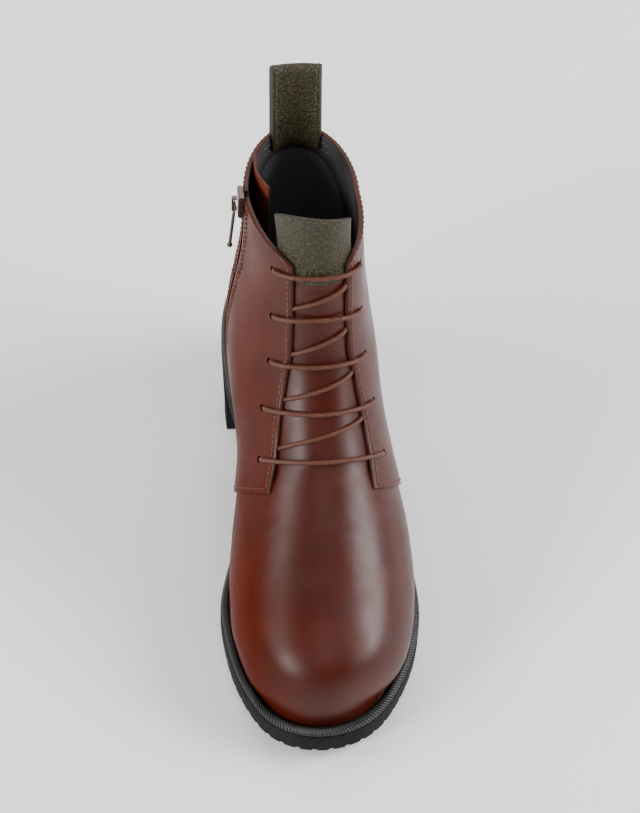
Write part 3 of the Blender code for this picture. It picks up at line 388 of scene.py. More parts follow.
# Skin of the upper
def fan_ends(row):
    """Back and front end of a section, each as (s, z)."""
    back_s = smooth(FAN_PROFILE, 1, row) * SOLE_LENGTH
    front_s = smooth(FAN_PROFILE, 3, row) * SOLE_LENGTH
    back_rise = smooth(FAN_PROFILE, 2, row) * UPPER_RISE
    if row <= HEEL_ROW:
        back_s = max(back_s, FEATHER_HEEL)
        back_rise = 0.0
    front_rise = smooth(FAN_PROFILE, 4, row) * (UPPER_RISE + HEEL_HEIGHT / 2)
    back = np.array([back_s, base_height(back_s) + back_rise])
    front = np.array([front_s, base_height(front_s) + front_rise])
    return back, front


def upright_wall(arc, row, side, back, direction, middle):
    """Widths of a section kept out to the sole's line where it stands low over the sole."""
    s = back[0] + arc[:, 1] * direction[0]
    z = back[1] + arc[:, 1] * direction[1]
    wall = WALL_FRONT + (WALL_BACK - WALL_FRONT) * ease((row - WALL_ROW) / WALL_ROWS)
    short = np.clip(np.abs(feather_x(s, side) - middle) - arc[:, 0], 0.0, None)
    return arc[:, 0] + short * ease(1 - (z - base_height(s)) / wall)


def half_section(width, foot, level, fullness, shift, chord):
    """Half a section: distance from the middle line, and length along the chord."""
    turn = np.linspace(math.pi / 2, 0.0, TURN_POINTS)
    top_x = width * np.cos(turn) * (1 + fullness * np.sin(turn) ** 2) + shift * np.sin(turn)
    top_w = level + (1 - level) * np.sin(turn)
    last = math.acos(foot / width)
    down = np.linspace(0.0, last, TURN_POINTS)[1:]
    round_x = width * np.cos(down)
    low_w = level * (1 - np.sin(down) / math.sin(last))
    upright_x = foot + (width - foot) * (1 - np.cos(math.pi * low_w / level)) / 2
    share = foot / width
    lean = width * (1 - share ** 2) / (level * max(share, FOOT_SHARE_LEAST) * chord)
    mix = ease((share - UPRIGHT_START) / UPRIGHT_RUN) * max(0.0, 1 - BASE_LEAN / max(lean, BASE_LEAN))
    low_x = round_x + (upright_x - round_x) * mix
    arc = np.column_stack([np.append(top_x, low_x), np.append(top_w, low_w) * chord])
    return resample(arc, ARC_POINTS)


def toe_section(arc, row, side, middle, chord):
    """Half a section drawn to the sole's line at the very toe."""
    edge = FEATHER[0 if side == INNER else 1]
    start = smooth(FAN_PROFILE, 1, 0.0) * SOLE_LENGTH
    toe = edge[edge[:, 1] > start][::-1]
    toe = np.vstack([toe, [feather_x(start, side), start]])
    share = (toe[:, 1] - start) / (FEATHER_TOE - start)
    exact = resample(np.column_stack([(toe[:, 0] - middle) * side, share * chord]), ARC_POINTS)
    return arc + (exact - arc) * ease(1 - row / TOE_BLEND)


def section(row):
    """Points of one section, from the inner end over the ridge to the outer end."""
    back, front = fan_ends(row)
    chord = np.linalg.norm(front - back)
    direction = (front - back) / chord
    level, fullness, shift = [smooth(FAN_WIDTHS, column, row) for column in (1, 4, 5)]
    shift = shift * SOLE_WIDTH / 2
    middle = float(axis_x(back[0]))
    halves = []
    for side, column in ((INNER, 2), (OUTER, 3)):
        width = smooth(FAN_WIDTHS, column, row) * SOLE_WIDTH / 2
        foot = abs(feather_x(back[0], side) - middle) if row < HEEL_ROW else 0.0
        width = max(width, foot + FOOT_MARGIN)
        arc = half_section(width, foot, level, fullness, shift * side, chord)
        arc[:, 0] = upright_wall(arc, row, side, back, direction, middle)
        arc = resample(arc, ARC_POINTS)
        if row < TOE_BLEND:
            arc = toe_section(arc, row, side, middle, chord)
        across = middle + arc[:, 0] * side
        halves.append(np.column_stack([across, back + arc[:, 1:2] * direction]))
    points = np.vstack([halves[0][::-1], halves[1][1:]])
    if row < HEEL_ROW:
        points[0, 0] = feather_x(back[0], INNER)
        points[-1, 0] = feather_x(back[0], OUTER)
    return points


def even_out(points, weight, passes):
    """Evens the skin's grid where the weight is above 0; the sole's line and the ends stay."""
    for _ in range(passes):
        ringed = np.concatenate([points[:, -2:-1], points, points[:, 1:2]], axis=1)
        even = points.copy()
        even[1:-1] = (points[:-2] + points[2:] + ringed[1:-1, :-2] + ringed[1:-1, 2:]) / 4
        points = points + (even - points) * weight[:, :, None] * EVEN_SHARE
    return points


def build_skin():
    """Grid of sections, evened out at the toe and where the open sections meet the heel's."""
    rows = np.linspace(0.0, FAN_PROFILE[-1][0], SKIN_ROWS)
    points = np.array([section(row) for row in rows])
    height = points[:, :, 2] - base_height(points[:, :, 1])
    heel = ease(1 - np.abs(rows - HEEL_ROW) / HEEL_BLEND)[:, None] * ease(height / HEEL_KEPT)
    toe = ease(1 - rows / TOE_EVEN)[:, None] * ease(height / TOE_KEPT)
    points = even_out(points, heel, HEEL_PASSES)
    return rows, even_out(points, toe, TOE_PASSES)


SKIN_AT, SKIN = build_skin()
SKIN_V = np.linspace(-1.0, 1.0, 2 * ARC_POINTS - 1)


def on_grid(values, row, v):
    """Values of a grid over the skin at places: row of the fan, share of the half section."""
    row, v = np.broadcast_arrays(row, v)
    r = np.clip(np.interp(row, SKIN_AT, np.arange(SKIN_ROWS)), 0, SKIN_ROWS - CELL_END)
    c = np.clip((v + 1) / 2 * (len(SKIN_V) - 1), 0, len(SKIN_V) - CELL_END)
    i = r.astype(int)
    j = c.astype(int)
    fr = (r - i)[..., None]
    fc = (c - j)[..., None]
    low = values[i, j] * (1 - fc) + values[i, j + 1] * fc
    high = values[i + 1, j] * (1 - fc) + values[i + 1, j + 1] * fc
    return low * (1 - fr) + high * fr


def half_length(row, side):
    line = on_grid(SKIN, row, np.linspace(0.0, float(side), GIRTH_POINTS))
    return np.linalg.norm(np.diff(line, axis=0), axis=1).sum()


HALF_AT = np.linspace(0.0, FAN_PROFILE[-1][0], GIRTH_ROWS)
HALF_LENGTHS = {side: np.array([half_length(row, side) for row in HALF_AT]) for side in (INNER, OUTER)}


def half_girth(row, side):
    """Length of half a section over the skin, the inner one where `side` is below 0."""
    inner = np.interp(row, HALF_AT, HALF_LENGTHS[INNER])
    outer = np.interp(row, HALF_AT, HALF_LENGTHS[OUTER])
    return np.where(np.less(side, 0), inner, outer)


def side_of(distance):
    return np.where(np.greater(distance, 0), OUTER, INNER)


def v_from_ridge(row, distance, side):
    return side * distance / half_girth(row, side)


def v_from_back(row, distance, side):
    return side * (1 - distance / half_girth(row, side))


def v_across(row, distance):
    """v at a distance from the ridge that is below 0 on the inner side."""
    return v_from_ridge(row, np.abs(distance), side_of(distance))


def facing_gap(row):
    """Half the gap between the two facings, measured over the skin from the ridge."""
    return THROAT_GAP / 2 * smooth(THROAT_LINE, 1, row)


# Normals and places beside the skin
def skin_gradient():
    """Outward unit normals on the skin's grid, joined across the back of the closed sections."""
    along = np.gradient(SKIN, axis=0)
    across = np.gradient(SKIN, axis=1)
    closed = SKIN_AT > HEEL_ROW
    seam = (SKIN[closed, 1] - SKIN[closed, -2]) / 2
    across[closed, 0] = seam
    across[closed, -1] = seam
    return unit(np.cross(along, across))


NORMALS = skin_gradient()


def world(points):
    """Places (x, s, z) in the boot's own frame."""
    points = np.asarray(points, dtype=float)
    out = points.copy()
    out[..., 0] += X_SHIFT
    out[..., 1] = SOLE_LENGTH / 2 - points[..., 1]
    return out


def lifted(row, v, distance):
    """Places at a distance outside the skin, kept above the sole."""
    point = on_grid(SKIN, row, v)
    out = on_grid(NORMALS, row, v)
    row, v = np.broadcast_arrays(row, v)
    base = (row <= 0) | ((np.abs(v) >= 1) & (row < HEEL_ROW))
    out = np.where(base[..., None], unit(out * np.array([1.0, 1.0, 0.0])), unit(out))
    point = point + out * np.broadcast_to(distance, row.shape)[..., None]
    floor = base_height(point[..., 1])
    point[..., 2] = np.where(base, floor, np.maximum(point[..., 2], floor))
    return point


def normal_at(row, v):
    return unit(on_grid(NORMALS, row, v))


def turned(vectors):
    """Directions in (x, s, z) as directions in the boot's own frame."""
    return np.asarray(vectors) * np.array([1.0, -1.0, 1.0])


# Mesh helpers
BEVEL_SEGMENTS = 2
BEVEL_ANGLE = 50.0
UPRIGHT_PATH = 0.1


def add_piece(name, mesh, materials, replaced=()):
    made = bpy.data.objects.new(name, mesh)
    bpy.context.scene.collection.objects.link(made)
    for material in materials:
        mesh.materials.append(material)
    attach(made, "boot")
    for node in replaced:
        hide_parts(node)
    return made


def finished_mesh(name, bm):
    mesh = bpy.data.meshes.new(name)
    bm.to_mesh(mesh)
    bm.free()
    return mesh


def build_mesh(name, points, faces, marks=None):
    """Mesh from places and faces, with unused points dropped and faces turned outward."""
    used = sorted({index for face in faces for index in face})
    renumber = {old: new for new, old in enumerate(used)}
    mesh = bpy.data.meshes.new(name)
    flat = np.asarray(points).reshape(-1, 3)[used]
    mesh.from_pydata([tuple(p) for p in flat], [], [[renumber[i] for i in face] for face in faces])
    if marks is not None:
        mesh.polygons.foreach_set("material_index", marks)
    bm = bmesh.new()
    bm.from_mesh(mesh)
    bmesh.ops.recalc_face_normals(bm, faces=bm.faces)
    bm.to_mesh(mesh)
    bm.free()
    mesh.shade_smooth()
    return mesh


def shell_mesh(name, outer, inner, cells=None, joined=None):
    """Closed wall between two grids of places. Its rim gets the second material.

    `cells` says which cells exist; `joined` names the rows whose last column is the first.
    """
    rows, columns = outer.shape[:2]
    if cells is None:
        cells = np.ones((rows - 1, columns - 1), dtype=bool)
    total = rows * columns
    index = np.arange(total).reshape(rows, columns)
    if joined is not None:
        index[joined, -1] = index[joined, 0]
    faces = []
    marks = []
    edges = {}
    for r, c in zip(*np.nonzero(cells)):
        ring = (index[r, c], index[r, c + 1], index[r + 1, c + 1], index[r + 1, c])
        corners = [int(k) for k in dict.fromkeys(ring)]
        if len(corners) < 3:
            continue
        faces.append(corners)
        faces.append([k + total for k in reversed(corners)])
        marks += [0, 0]
        for a, b in zip(corners, corners[1:] + corners[:1]):
            if (b, a) in edges:
                del edges[(b, a)]
            else:
                edges[(a, b)] = True
    for a, b in edges:
        faces.append([b, a, a + total, b + total])
        marks.append(1)
    points = np.concatenate([outer.reshape(-1, 3), inner.reshape(-1, 3)])
    return build_mesh(name, world(points), faces, marks)


def sharp_by_angle(mesh, degrees):
    mesh.set_sharp_from_angle(angle=math.radians(degrees))


def round_edges(piece, width):
    bevel = piece.modifiers.new("round_edges", "BEVEL")
    bevel.width = width
    bevel.segments = BEVEL_SEGMENTS
    bevel.limit_method = "ANGLE"
    bevel.angle_limit = math.radians(BEVEL_ANGLE)


def cut_out(piece, cutter_mesh):
    """Boolean difference, applied, with the cutter removed afterwards."""
    cutter = bpy.data.objects.new("cutter", cutter_mesh)
    bpy.context.scene.collection.objects.link(cutter)
    modifier = piece.modifiers.new("cut", "BOOLEAN")
    modifier.operation = "DIFFERENCE"
    modifier.solver = "EXACT"
    modifier.object = cutter
    depsgraph = bpy.context.evaluated_depsgraph_get()
    cut_mesh = bpy.data.meshes.new_from_object(piece.evaluated_get(depsgraph))
    piece.modifiers.remove(modifier)
    piece.data = cut_mesh
    bpy.data.objects.remove(cutter)


def tube_points(path, radius, sides):
    """Points and faces of a tube along a path, with a radius for each place or one for all."""
    path = np.asarray(path, dtype=float)
    radius = np.broadcast_to(radius, len(path))
    along = unit(np.gradient(path, axis=0))
    flat = np.cross(along[0], (0.0, 0.0, 1.0))
    if np.linalg.norm(flat) < UPRIGHT_PATH:
        flat = np.cross(along[0], (1.0, 0.0, 0.0))
    turn = np.linspace(0, 2 * math.pi, sides, endpoint=False)
    rings = []
    for k in range(len(path)):
        flat = unit(flat - along[k] * flat.dot(along[k]))
        other = np.cross(along[k], flat)
        ring = np.outer(np.cos(turn), flat) + np.outer(np.sin(turn), other)
        rings.append(path[k] + ring * radius[k])
    faces = []
    for k in range(len(path) - 1):
        for t in range(sides):
            n = (t + 1) % sides
            faces.append([k * sides + t, k * sides + n, (k + 1) * sides + n, (k + 1) * sides + t])
    faces.append(list(range(sides))[::-1])
    faces.append([(len(path) - 1) * sides + t for t in range(sides)])
    return np.concatenate(rings), faces


def joined_mesh(name, parts):
    """One mesh from many (points, faces) pairs."""
    points = []
    faces = []
    start = 0
    for part_points, part_faces in parts:
        points.append(part_points)
        faces += [[index + start for index in face] for face in part_faces]
        start += len(part_points)
    return build_mesh(name, np.concatenate(points), faces)


# Materials
COAT_ROUGHNESS = 0.22
ROUGH_DETAIL = 0.55


def start_material(name, roughness, coat=0.0, metallic=0.0, sheen=0.0):
    material = bpy.data.materials.new(name)
    material.use_nodes = True
    tree = material.node_tree
    shader = tree.nodes["Principled BSDF"]
    shader.inputs["Roughness"].default_value = roughness
    shader.inputs["Metallic"].default_value = metallic
    shader.inputs["Coat Weight"].default_value = coat
    shader.inputs["Coat Roughness"].default_value = COAT_ROUGHNESS
    shader.inputs["Sheen Weight"].default_value = sheen
    place = tree.nodes.new("ShaderNodeTexCoord")
    return material, tree, shader, place.outputs["Object"]


def noise(tree, place, scale, detail=3.0):
    made = tree.nodes.new("ShaderNodeTexNoise")
    made.inputs["Scale"].default_value = scale
    made.inputs["Detail"].default_value = detail
    made.inputs["Roughness"].default_value = ROUGH_DETAIL
    tree.links.new(place, made.inputs["Vector"])
    return made.outputs["Fac"]


def ramp(tree, value, stops):
    made = tree.nodes.new("ShaderNodeValToRGB")
    band = made.color_ramp
    while len(band.elements) < len(stops):
        band.elements.new(0.5)
    for element, (at, color) in zip(band.elements, stops):
        element.position = at
        element.color = (*color, 1.0)
    tree.links.new(value, made.inputs["Fac"])
    return made.outputs["Color"]


def remap(tree, value, low, high, to_low, to_high):
    made = tree.nodes.new("ShaderNodeMapRange")
    made.inputs["From Min"].default_value = low
    made.inputs["From Max"].default_value = high
    made.inputs["To Min"].default_value = to_low
    made.inputs["To Max"].default_value = to_high
    tree.links.new(value, made.inputs["Value"])
    return made.outputs["Result"]


def bump(tree, height, strength, distance, below=None):
    made = tree.nodes.new("ShaderNodeBump")
    made.inputs["Strength"].default_value = strength
    made.inputs["Distance"].default_value = distance
    tree.links.new(height, made.inputs["Height"])
    if below is not None:
        tree.links.new(below, made.inputs["Normal"])
    return made.outputs["Normal"]


def voronoi(tree, place, scale, feature="F1", randomness=1.0):
    made = tree.nodes.new("ShaderNodeTexVoronoi")
    made.feature = feature
    made.inputs["Scale"].default_value = scale
    made.inputs["Randomness"].default_value = randomness
    tree.links.new(place, made.inputs["Vector"])
    return made.outputs["Distance"]


def connect(tree, shader, **sockets):
    """Links outputs to the shader's color, rough and normal sockets."""
    names = {"color": "Base Color", "rough": "Roughness", "normal": "Normal"}
    for key, output in sockets.items():
        tree.links.new(output, shader.inputs[names[key]])


# Painted light: a warm tint toward the inner side, mostly standing in for how the light falls there, partly
# the leather's own burnished tone; where it ends and is full across the boot, and its strength
WARM_END = -0.008
WARM_FULL = -0.034
PAINTED_LIGHT_SHARE = 1.0
PAINTED_LIGHT_TINT = (1.35, 1.15, 0.55)
LEATHER_SHINE = 0.30
WARM_SHINE = 0.04


def paint_warm_light_inner_side(tree, shader, at, color):
    """Painted light: colour warmed across the boot toward its inner side, mostly for how the light falls
    there; the shine is changed there too.
    """
    across = tree.nodes.new("ShaderNodeSeparateXYZ")
    tree.links.new(at, across.inputs[0])
    tint = tree.nodes.new("ShaderNodeMix")
    tint.data_type = "RGBA"
    tint.blend_type = "MULTIPLY"
    tint.inputs[7].default_value = (*PAINTED_LIGHT_TINT, 1.0)
    share = remap(tree, across.outputs["X"], WARM_END, WARM_FULL, 0.0, PAINTED_LIGHT_SHARE)
    tree.links.new(share, tint.inputs[0])
    tree.links.new(color, tint.inputs[6])
    shine = remap(tree, across.outputs["X"], WARM_END, WARM_FULL, LEATHER_SHINE, WARM_SHINE)
    tree.links.new(shine, shader.inputs["Specular IOR Level"])
    return tint.outputs[2]


# Leather's scales, in cells per metre
MOTTLE_SCALE = 34.0
POLISH_SCALE = 60.0
WRINKLE_SCALE = 90.0
PORE_SCALE = 1500.0
GRAIN_SCALE = 2600.0

# Detail of the noises, and the part of a noise's range that changes the roughness
MOTTLE_DETAIL = 5.0
SOFT_DETAIL = 2.0
WEAR_RANGE = (0.3, 0.7)
POLISH_LESS = 0.05
POLISH_MORE = 0.07

# Strength and depth of each relief
WRINKLE_BUMP = (0.10, 0.0006)
PORE_BUMP = (0.16, 0.00012)
GRAIN_BUMP = (0.10, 0.0001)


def smooth_leather(name, dark, middle, light, roughness, warm):
    """Polished box leather: mottled colour, fine pores and faint long wrinkles."""
    material, tree, shader, at = start_material(name, roughness)
    shader.inputs["Specular IOR Level"].default_value = LEATHER_SHINE
    mottle = noise(tree, at, MOTTLE_SCALE, MOTTLE_DETAIL)
    color = ramp(tree, mottle, ((0.28, dark), (0.5, middle), (0.72, light)))
    # painted light: the inner side's warmer colour mostly stands in for how the light falls there
    if warm:
        color = paint_warm_light_inner_side(tree, shader, at, color)
    polish = noise(tree, at, POLISH_SCALE)
    rough = remap(tree, polish, *WEAR_RANGE, roughness - POLISH_LESS, roughness + POLISH_MORE)
    wrinkles = bump(tree, noise(tree, at, WRINKLE_SCALE, SOFT_DETAIL), *WRINKLE_BUMP)
    pores = bump(tree, voronoi(tree, at, PORE_SCALE), *PORE_BUMP, wrinkles)
    grain = bump(tree, noise(tree, at, GRAIN_SCALE), *GRAIN_BUMP, pores)
    connect(tree, shader, color=color, rough=rough, normal=grain)
    return material


# Pebbles of the olive leather: their scale, how finely and how far they are warped, their relief
PEBBLE_SCALE = 860.0
WARP_SCALE = 380.0
WARP_REACH = 0.0014
PEBBLE_GRAIN = 3000.0
PEBBLE_ROUGHNESS = 0.46
PEBBLE_EDGE = 0.6
PEBBLE_BUMP = (0.7, 0.0006)
PEBBLE_GRAIN_BUMP = (0.12, 0.0001)


def pebbled_leather(name, dark, light):
    """Milled leather: rounded pebbles, their colour darkened into the creases between them as painted shade.
    """
    material, tree, shader, at = start_material(name, PEBBLE_ROUGHNESS)
    shader.inputs["Specular IOR Level"].default_value = LEATHER_SHINE
    shift = tree.nodes.new("ShaderNodeTexNoise")
    shift.inputs["Scale"].default_value = WARP_SCALE
    scaled = tree.nodes.new("ShaderNodeVectorMath")
    scaled.operation = "SCALE"
    scaled.inputs["Scale"].default_value = WARP_REACH
    warp = tree.nodes.new("ShaderNodeVectorMath")
    warp.operation = "ADD"
    tree.links.new(at, shift.inputs["Vector"])
    tree.links.new(shift.outputs["Color"], scaled.inputs[0])
    tree.links.new(at, warp.inputs[0])
    tree.links.new(scaled.outputs["Vector"], warp.inputs[1])
    pebble = voronoi(tree, warp.outputs["Vector"], PEBBLE_SCALE, "SMOOTH_F1")
    # painted shade: the colour darkens from each pebble's top into the creases between them
    color = ramp(tree, pebble, ((0.15, light), (0.5, dark)))
    rounded = bump(tree, remap(tree, pebble, 0.0, PEBBLE_EDGE, 1.0, 0.0), *PEBBLE_BUMP)
    grain = bump(tree, noise(tree, at, PEBBLE_GRAIN), *PEBBLE_GRAIN_BUMP, rounded)
    connect(tree, shader, color=color, normal=grain)
    return material


# Weave of the cloths: roughness, distortion of the threads, depth and its share of the pitch
CLOTH_ROUGHNESS = 0.85
CLOTH_SHEEN = 0.15
WEAVE_DISTORTION = 0.6
WEAVE_STRENGTH = 0.6
WEAVE_DEPTH = 0.3


def woven_cloth(name, dark, light, pitch):
    """Plain weave from two crossed waves."""
    material, tree, shader, at = start_material(name, CLOTH_ROUGHNESS, sheen=CLOTH_SHEEN)
    both = tree.nodes.new("ShaderNodeMath")
    both.operation = "MULTIPLY"
    for k, direction in enumerate(("X", "Z")):
        wave = tree.nodes.new("ShaderNodeTexWave")
        wave.bands_direction = direction
        wave.inputs["Scale"].default_value = 1.0 / pitch / 3.0
        wave.inputs["Distortion"].default_value = WEAVE_DISTORTION
        tree.links.new(at, wave.inputs["Vector"])
        tree.links.new(wave.outputs["Fac"], both.inputs[k])
    weave = both.outputs["Value"]
    color = ramp(tree, weave, ((0.0, dark), (0.8, light)))
    connect(tree, shader, color=color, normal=bump(tree, weave, WEAVE_STRENGTH, pitch * WEAVE_DEPTH))
    return material


# Rubber: scales in cells per metre, change of roughness where it is worn, relief
RUBBER_MOTTLE = 70.0
RUBBER_WEAR = 140.0
RUBBER_GRAIN = 1400.0
RUBBER_DETAIL = 4.0
WEAR_LESS = 0.08
WEAR_MORE = 0.12
RUBBER_BUMP = (0.3, 0.00015)


def matte_rubber(name, dark, light, roughness, shine):
    material, tree, shader, at = start_material(name, roughness)
    shader.inputs["Specular IOR Level"].default_value = shine
    color = ramp(tree, noise(tree, at, RUBBER_MOTTLE, MOTTLE_DETAIL), ((0.3, dark), (0.75, light)))
    wear = noise(tree, at, RUBBER_WEAR)
    rough = remap(tree, wear, *WEAR_RANGE, roughness - WEAR_LESS, roughness + WEAR_MORE)
    grain = bump(tree, noise(tree, at, RUBBER_GRAIN, RUBBER_DETAIL), *RUBBER_BUMP)
    connect(tree, shader, color=color, rough=rough, normal=grain)
    return material


# Cord and threads: cells per metre, their disorder, roughness and relief
BRAID_SCALE = 1500.0
BRAID_DISORDER = 0.55
CORD_ROUGHNESS = 0.5
CORD_BUMP = (0.5, 0.0003)


def waxed_cord(name, dark, light):
    """Braided, waxed cord: small diagonal cells."""
    material, tree, shader, at = start_material(name, CORD_ROUGHNESS)
    shader.inputs["Specular IOR Level"].default_value = LEATHER_SHINE
    cells = voronoi(tree, at, BRAID_SCALE, "F1", BRAID_DISORDER)
    color = ramp(tree, cells, ((0.15, light), (0.6, dark)))
    connect(tree, shader, color=color, normal=bump(tree, cells, *CORD_BUMP))
    return material


# Painted metal and paper
METAL_ROUGHNESS = 0.3
METAL_COAT = 0.5
METAL_SHARE = 0.55
METAL_WEAR = 500.0
METAL_GRAIN = 900.0
METAL_DETAIL = 4.0
METAL_BUMP = (0.1, 0.0001)
PAPER_ROUGHNESS = 0.9
PAPER_SCALE = 2.0


def lacquered_metal(name, color, dark):
    material, tree, shader, at = start_material(name, METAL_ROUGHNESS, METAL_COAT, METAL_SHARE)
    worn = ramp(tree, noise(tree, at, METAL_WEAR, METAL_DETAIL), ((0.35, dark), (0.6, color)))
    connect(tree, shader, color=worn, normal=bump(tree, noise(tree, at, METAL_GRAIN), *METAL_BUMP))
    return material


def floor_paper(name, color, other):
    material, tree, shader, at = start_material(name, PAPER_ROUGHNESS)
    connect(tree, shader, color=ramp(tree, noise(tree, at, PAPER_SCALE), ((0.3, other), (0.7, color))))
    return material


# Smooth leathers: name, dark, middle and light colour, roughness, whether the inner side gets the painted
# warm light
SMOOTH_LEATHERS = (
    ("box_leather", (0.034, 0.0042, 0.0016), (0.044, 0.0056, 0.0020), (0.055, 0.0076, 0.0026), 0.36, True),
    ("cut_edge", (0.03, 0.008, 0.005), (0.05, 0.013, 0.008), (0.07, 0.018, 0.011), 0.55, False),
    ("olive_edge", (0.016, 0.014, 0.007), (0.024, 0.021, 0.011), (0.03, 0.027, 0.014), 0.6, False),
    ("guard_leather", (0.085, 0.016, 0.006), (0.12, 0.024, 0.009), (0.15, 0.034, 0.013), 0.5, False),
    ("black_lining", (0.026, 0.025, 0.025), (0.040, 0.039, 0.040), (0.055, 0.054, 0.056), 0.45, False),
)

# Cords and threads: name, dark and light colour
CORDS = (
    ("waxed_cord", (0.060, 0.018, 0.009), (0.14, 0.048, 0.026)),
    ("tan_thread", (0.14, 0.052, 0.027), (0.25, 0.105, 0.056)),
    ("brown_thread", (0.08, 0.022, 0.012), (0.17, 0.055, 0.03)),
    ("olive_thread", (0.05, 0.048, 0.03), (0.11, 0.105, 0.07)),
    ("black_thread", (0.06, 0.06, 0.066), (0.14, 0.14, 0.15)),
)

# Woven cloths: name, dark and light colour, pitch of the weave
CLOTHS = (
    ("black_cloth", (0.030, 0.031, 0.042), (0.110, 0.115, 0.150), 0.0006),
    ("zip_cloth", (0.03, 0.010, 0.006), (0.08, 0.03, 0.018), 0.0005),
)

# Rubbers: name, dark and light colour, roughness, shine
RUBBERS = (
    ("black_rubber", (0.005, 0.005, 0.005), (0.010, 0.0095, 0.009), 0.72, 0.12),
    ("welt_rubber", (0.008, 0.0075, 0.007), (0.018, 0.017, 0.016), 0.4, 0.45),
)


# Pebbled leather, painted metal and the floor: name and two colours; the pebbled leather's first is the
# painted shade in its creases
PEBBLED_LEATHERS = (("pebbled_leather", (0.022, 0.018, 0.008), (0.050, 0.041, 0.020)),)
METALS = (("painted_metal", (0.060, 0.016, 0.010), (0.022, 0.007, 0.005)),)
PAPERS = (("pale_paper", (0.84, 0.84, 0.845), (0.82, 0.82, 0.825)),)


def build_materials():
    """All materials, by the names in the tables."""
    kinds = (
        (smooth_leather, SMOOTH_LEATHERS),
        (pebbled_leather, PEBBLED_LEATHERS),
        (waxed_cord, CORDS),
        (woven_cloth, CLOTHS),
        (matte_rubber, RUBBERS),
        (lacquered_metal, METALS),
        (floor_paper, PAPERS),
    )
    return {line[0]: make(*line) for make, table in kinds for line in table}


# Upper
SIDE_FINE = 64
THROAT_FINE = 14
VAMP_FINE = 110
TONGUE_FINE = 110
QUARTER_FINE = 100
EDGE_ROLL = 0.0009
EDGE_DROP = 0.0004
QUARTER_INSIDE = WALL - QUARTER_STEP
LINING_FAR = 0.00026
LINING_LEVEL = -QUARTER_INSIDE - LINING_FAR
LINING_NEAR = 0.00002
LINING_MARGIN = 0.0012
LINING_DROP = 0.003
SIDE_CROWDING = 1.5
ROW_CROWDING = 1.25
EDGE_BEVEL = 0.0003
QUARTER_BEVEL = 0.00035
LOOP_BEVEL = 0.0004
QUARTER_SHARP = 45.0


def fine_columns():
    """Sides and shares: from the sole to the facing's edge, the throat, and down again."""
    shares = 1 - (1 - np.linspace(0, 1, SIDE_FINE + 1)) ** SIDE_CROWDING
    throat = np.linspace(-1, 1, 2 * THROAT_FINE + 1)[1:-1]
    sides = np.repeat((INNER, 0, OUTER), (len(shares), len(throat), len(shares)))
    return sides, np.concatenate([shares, throat, shares[::-1]])


def columns_at(row, sides, shares, gap):
    """v of each column at a row, with the throat's half width given."""
    edge = gap / half_girth(row, np.where(sides, sides, shares))
    return np.where(sides, sides * (1 - shares * (1 - edge)), shares * edge)


# Rows over which the tongue tucks under the facings, sinks below the vamp and goes under the olive top
TUCK_START = 0.03
TUCK_ROWS = 0.08
SINK_ROWS = 0.04
JOINT_START = 0.03
JOINT_ROWS = 0.02

# Share of the sole's length to which one whole row of the fan comes at the seam
LAP_SHARE = 0.9


def tongue_half_width(row):
    return facing_gap(row) - FIT + TONGUE_TUCK * ease((row - SEAM_ROW - TUCK_START) / TUCK_ROWS)


def tongue_place(row, share, corner):
    """Row and v on the tongue. Its corners lie lower by `corner`, and its top leans inward."""
    row = row - corner * share ** 2
    lean = -TONGUE_SWING * ease((row - SEAM_ROW) / (TONGUE_TOP_ROW - SEAM_ROW) * 2 - 1)
    return row, v_across(row, share * tongue_half_width(row) + lean)


OLIVE_CORNER = 0.042


def top_corner(row):
    """How far the tongue's corners lie below the middle at a row of its top."""
    return OLIVE_CORNER * np.maximum(row - TONGUE_JOINT_ROW, 0.0) / (TONGUE_TOP_ROW - TONGUE_JOINT_ROW)


# Soft creases: row, v, reach along the rows, reach across, slope of the trough, depth
CREASES = (
    (0.505, -0.28, 0.012, 0.20, 0.10, 0.00020),
    (0.470, 0.10, 0.014, 0.30, -0.06, 0.00014),
    (0.440, -0.45, 0.012, 0.16, 0.12, 0.00018),
    (0.500, 0.48, 0.012, 0.16, -0.12, 0.00018),
    (0.790, -0.62, 0.012, 0.12, 0.25, 0.00050),
    (0.860, -0.50, 0.014, 0.14, 0.20, 0.00040),
    (0.760, 0.60, 0.012, 0.14, -0.25, 0.00045),
    (0.840, 0.55, 0.014, 0.14, -0.20, 0.00035),
)


CREASE_RIDGE = 0.9


def crease_depth(row, v):
    """Soft troughs with a low ridge on each side, where the leather has flexed."""
    total = np.zeros(np.broadcast(row, v).shape)
    for at_row, at_v, reach, across, slope, depth in CREASES:
        off = (row - at_row - slope * (v - at_v)) / reach
        fade = np.exp(-((v - at_v) / across) ** 2)
        total += depth * fade * (1 - CREASE_RIDGE * off ** 2) * np.exp(-off ** 2)
    return total


TONGUE_SINK = 0.0005
TONGUE_EDGE_TUCK = 0.0002


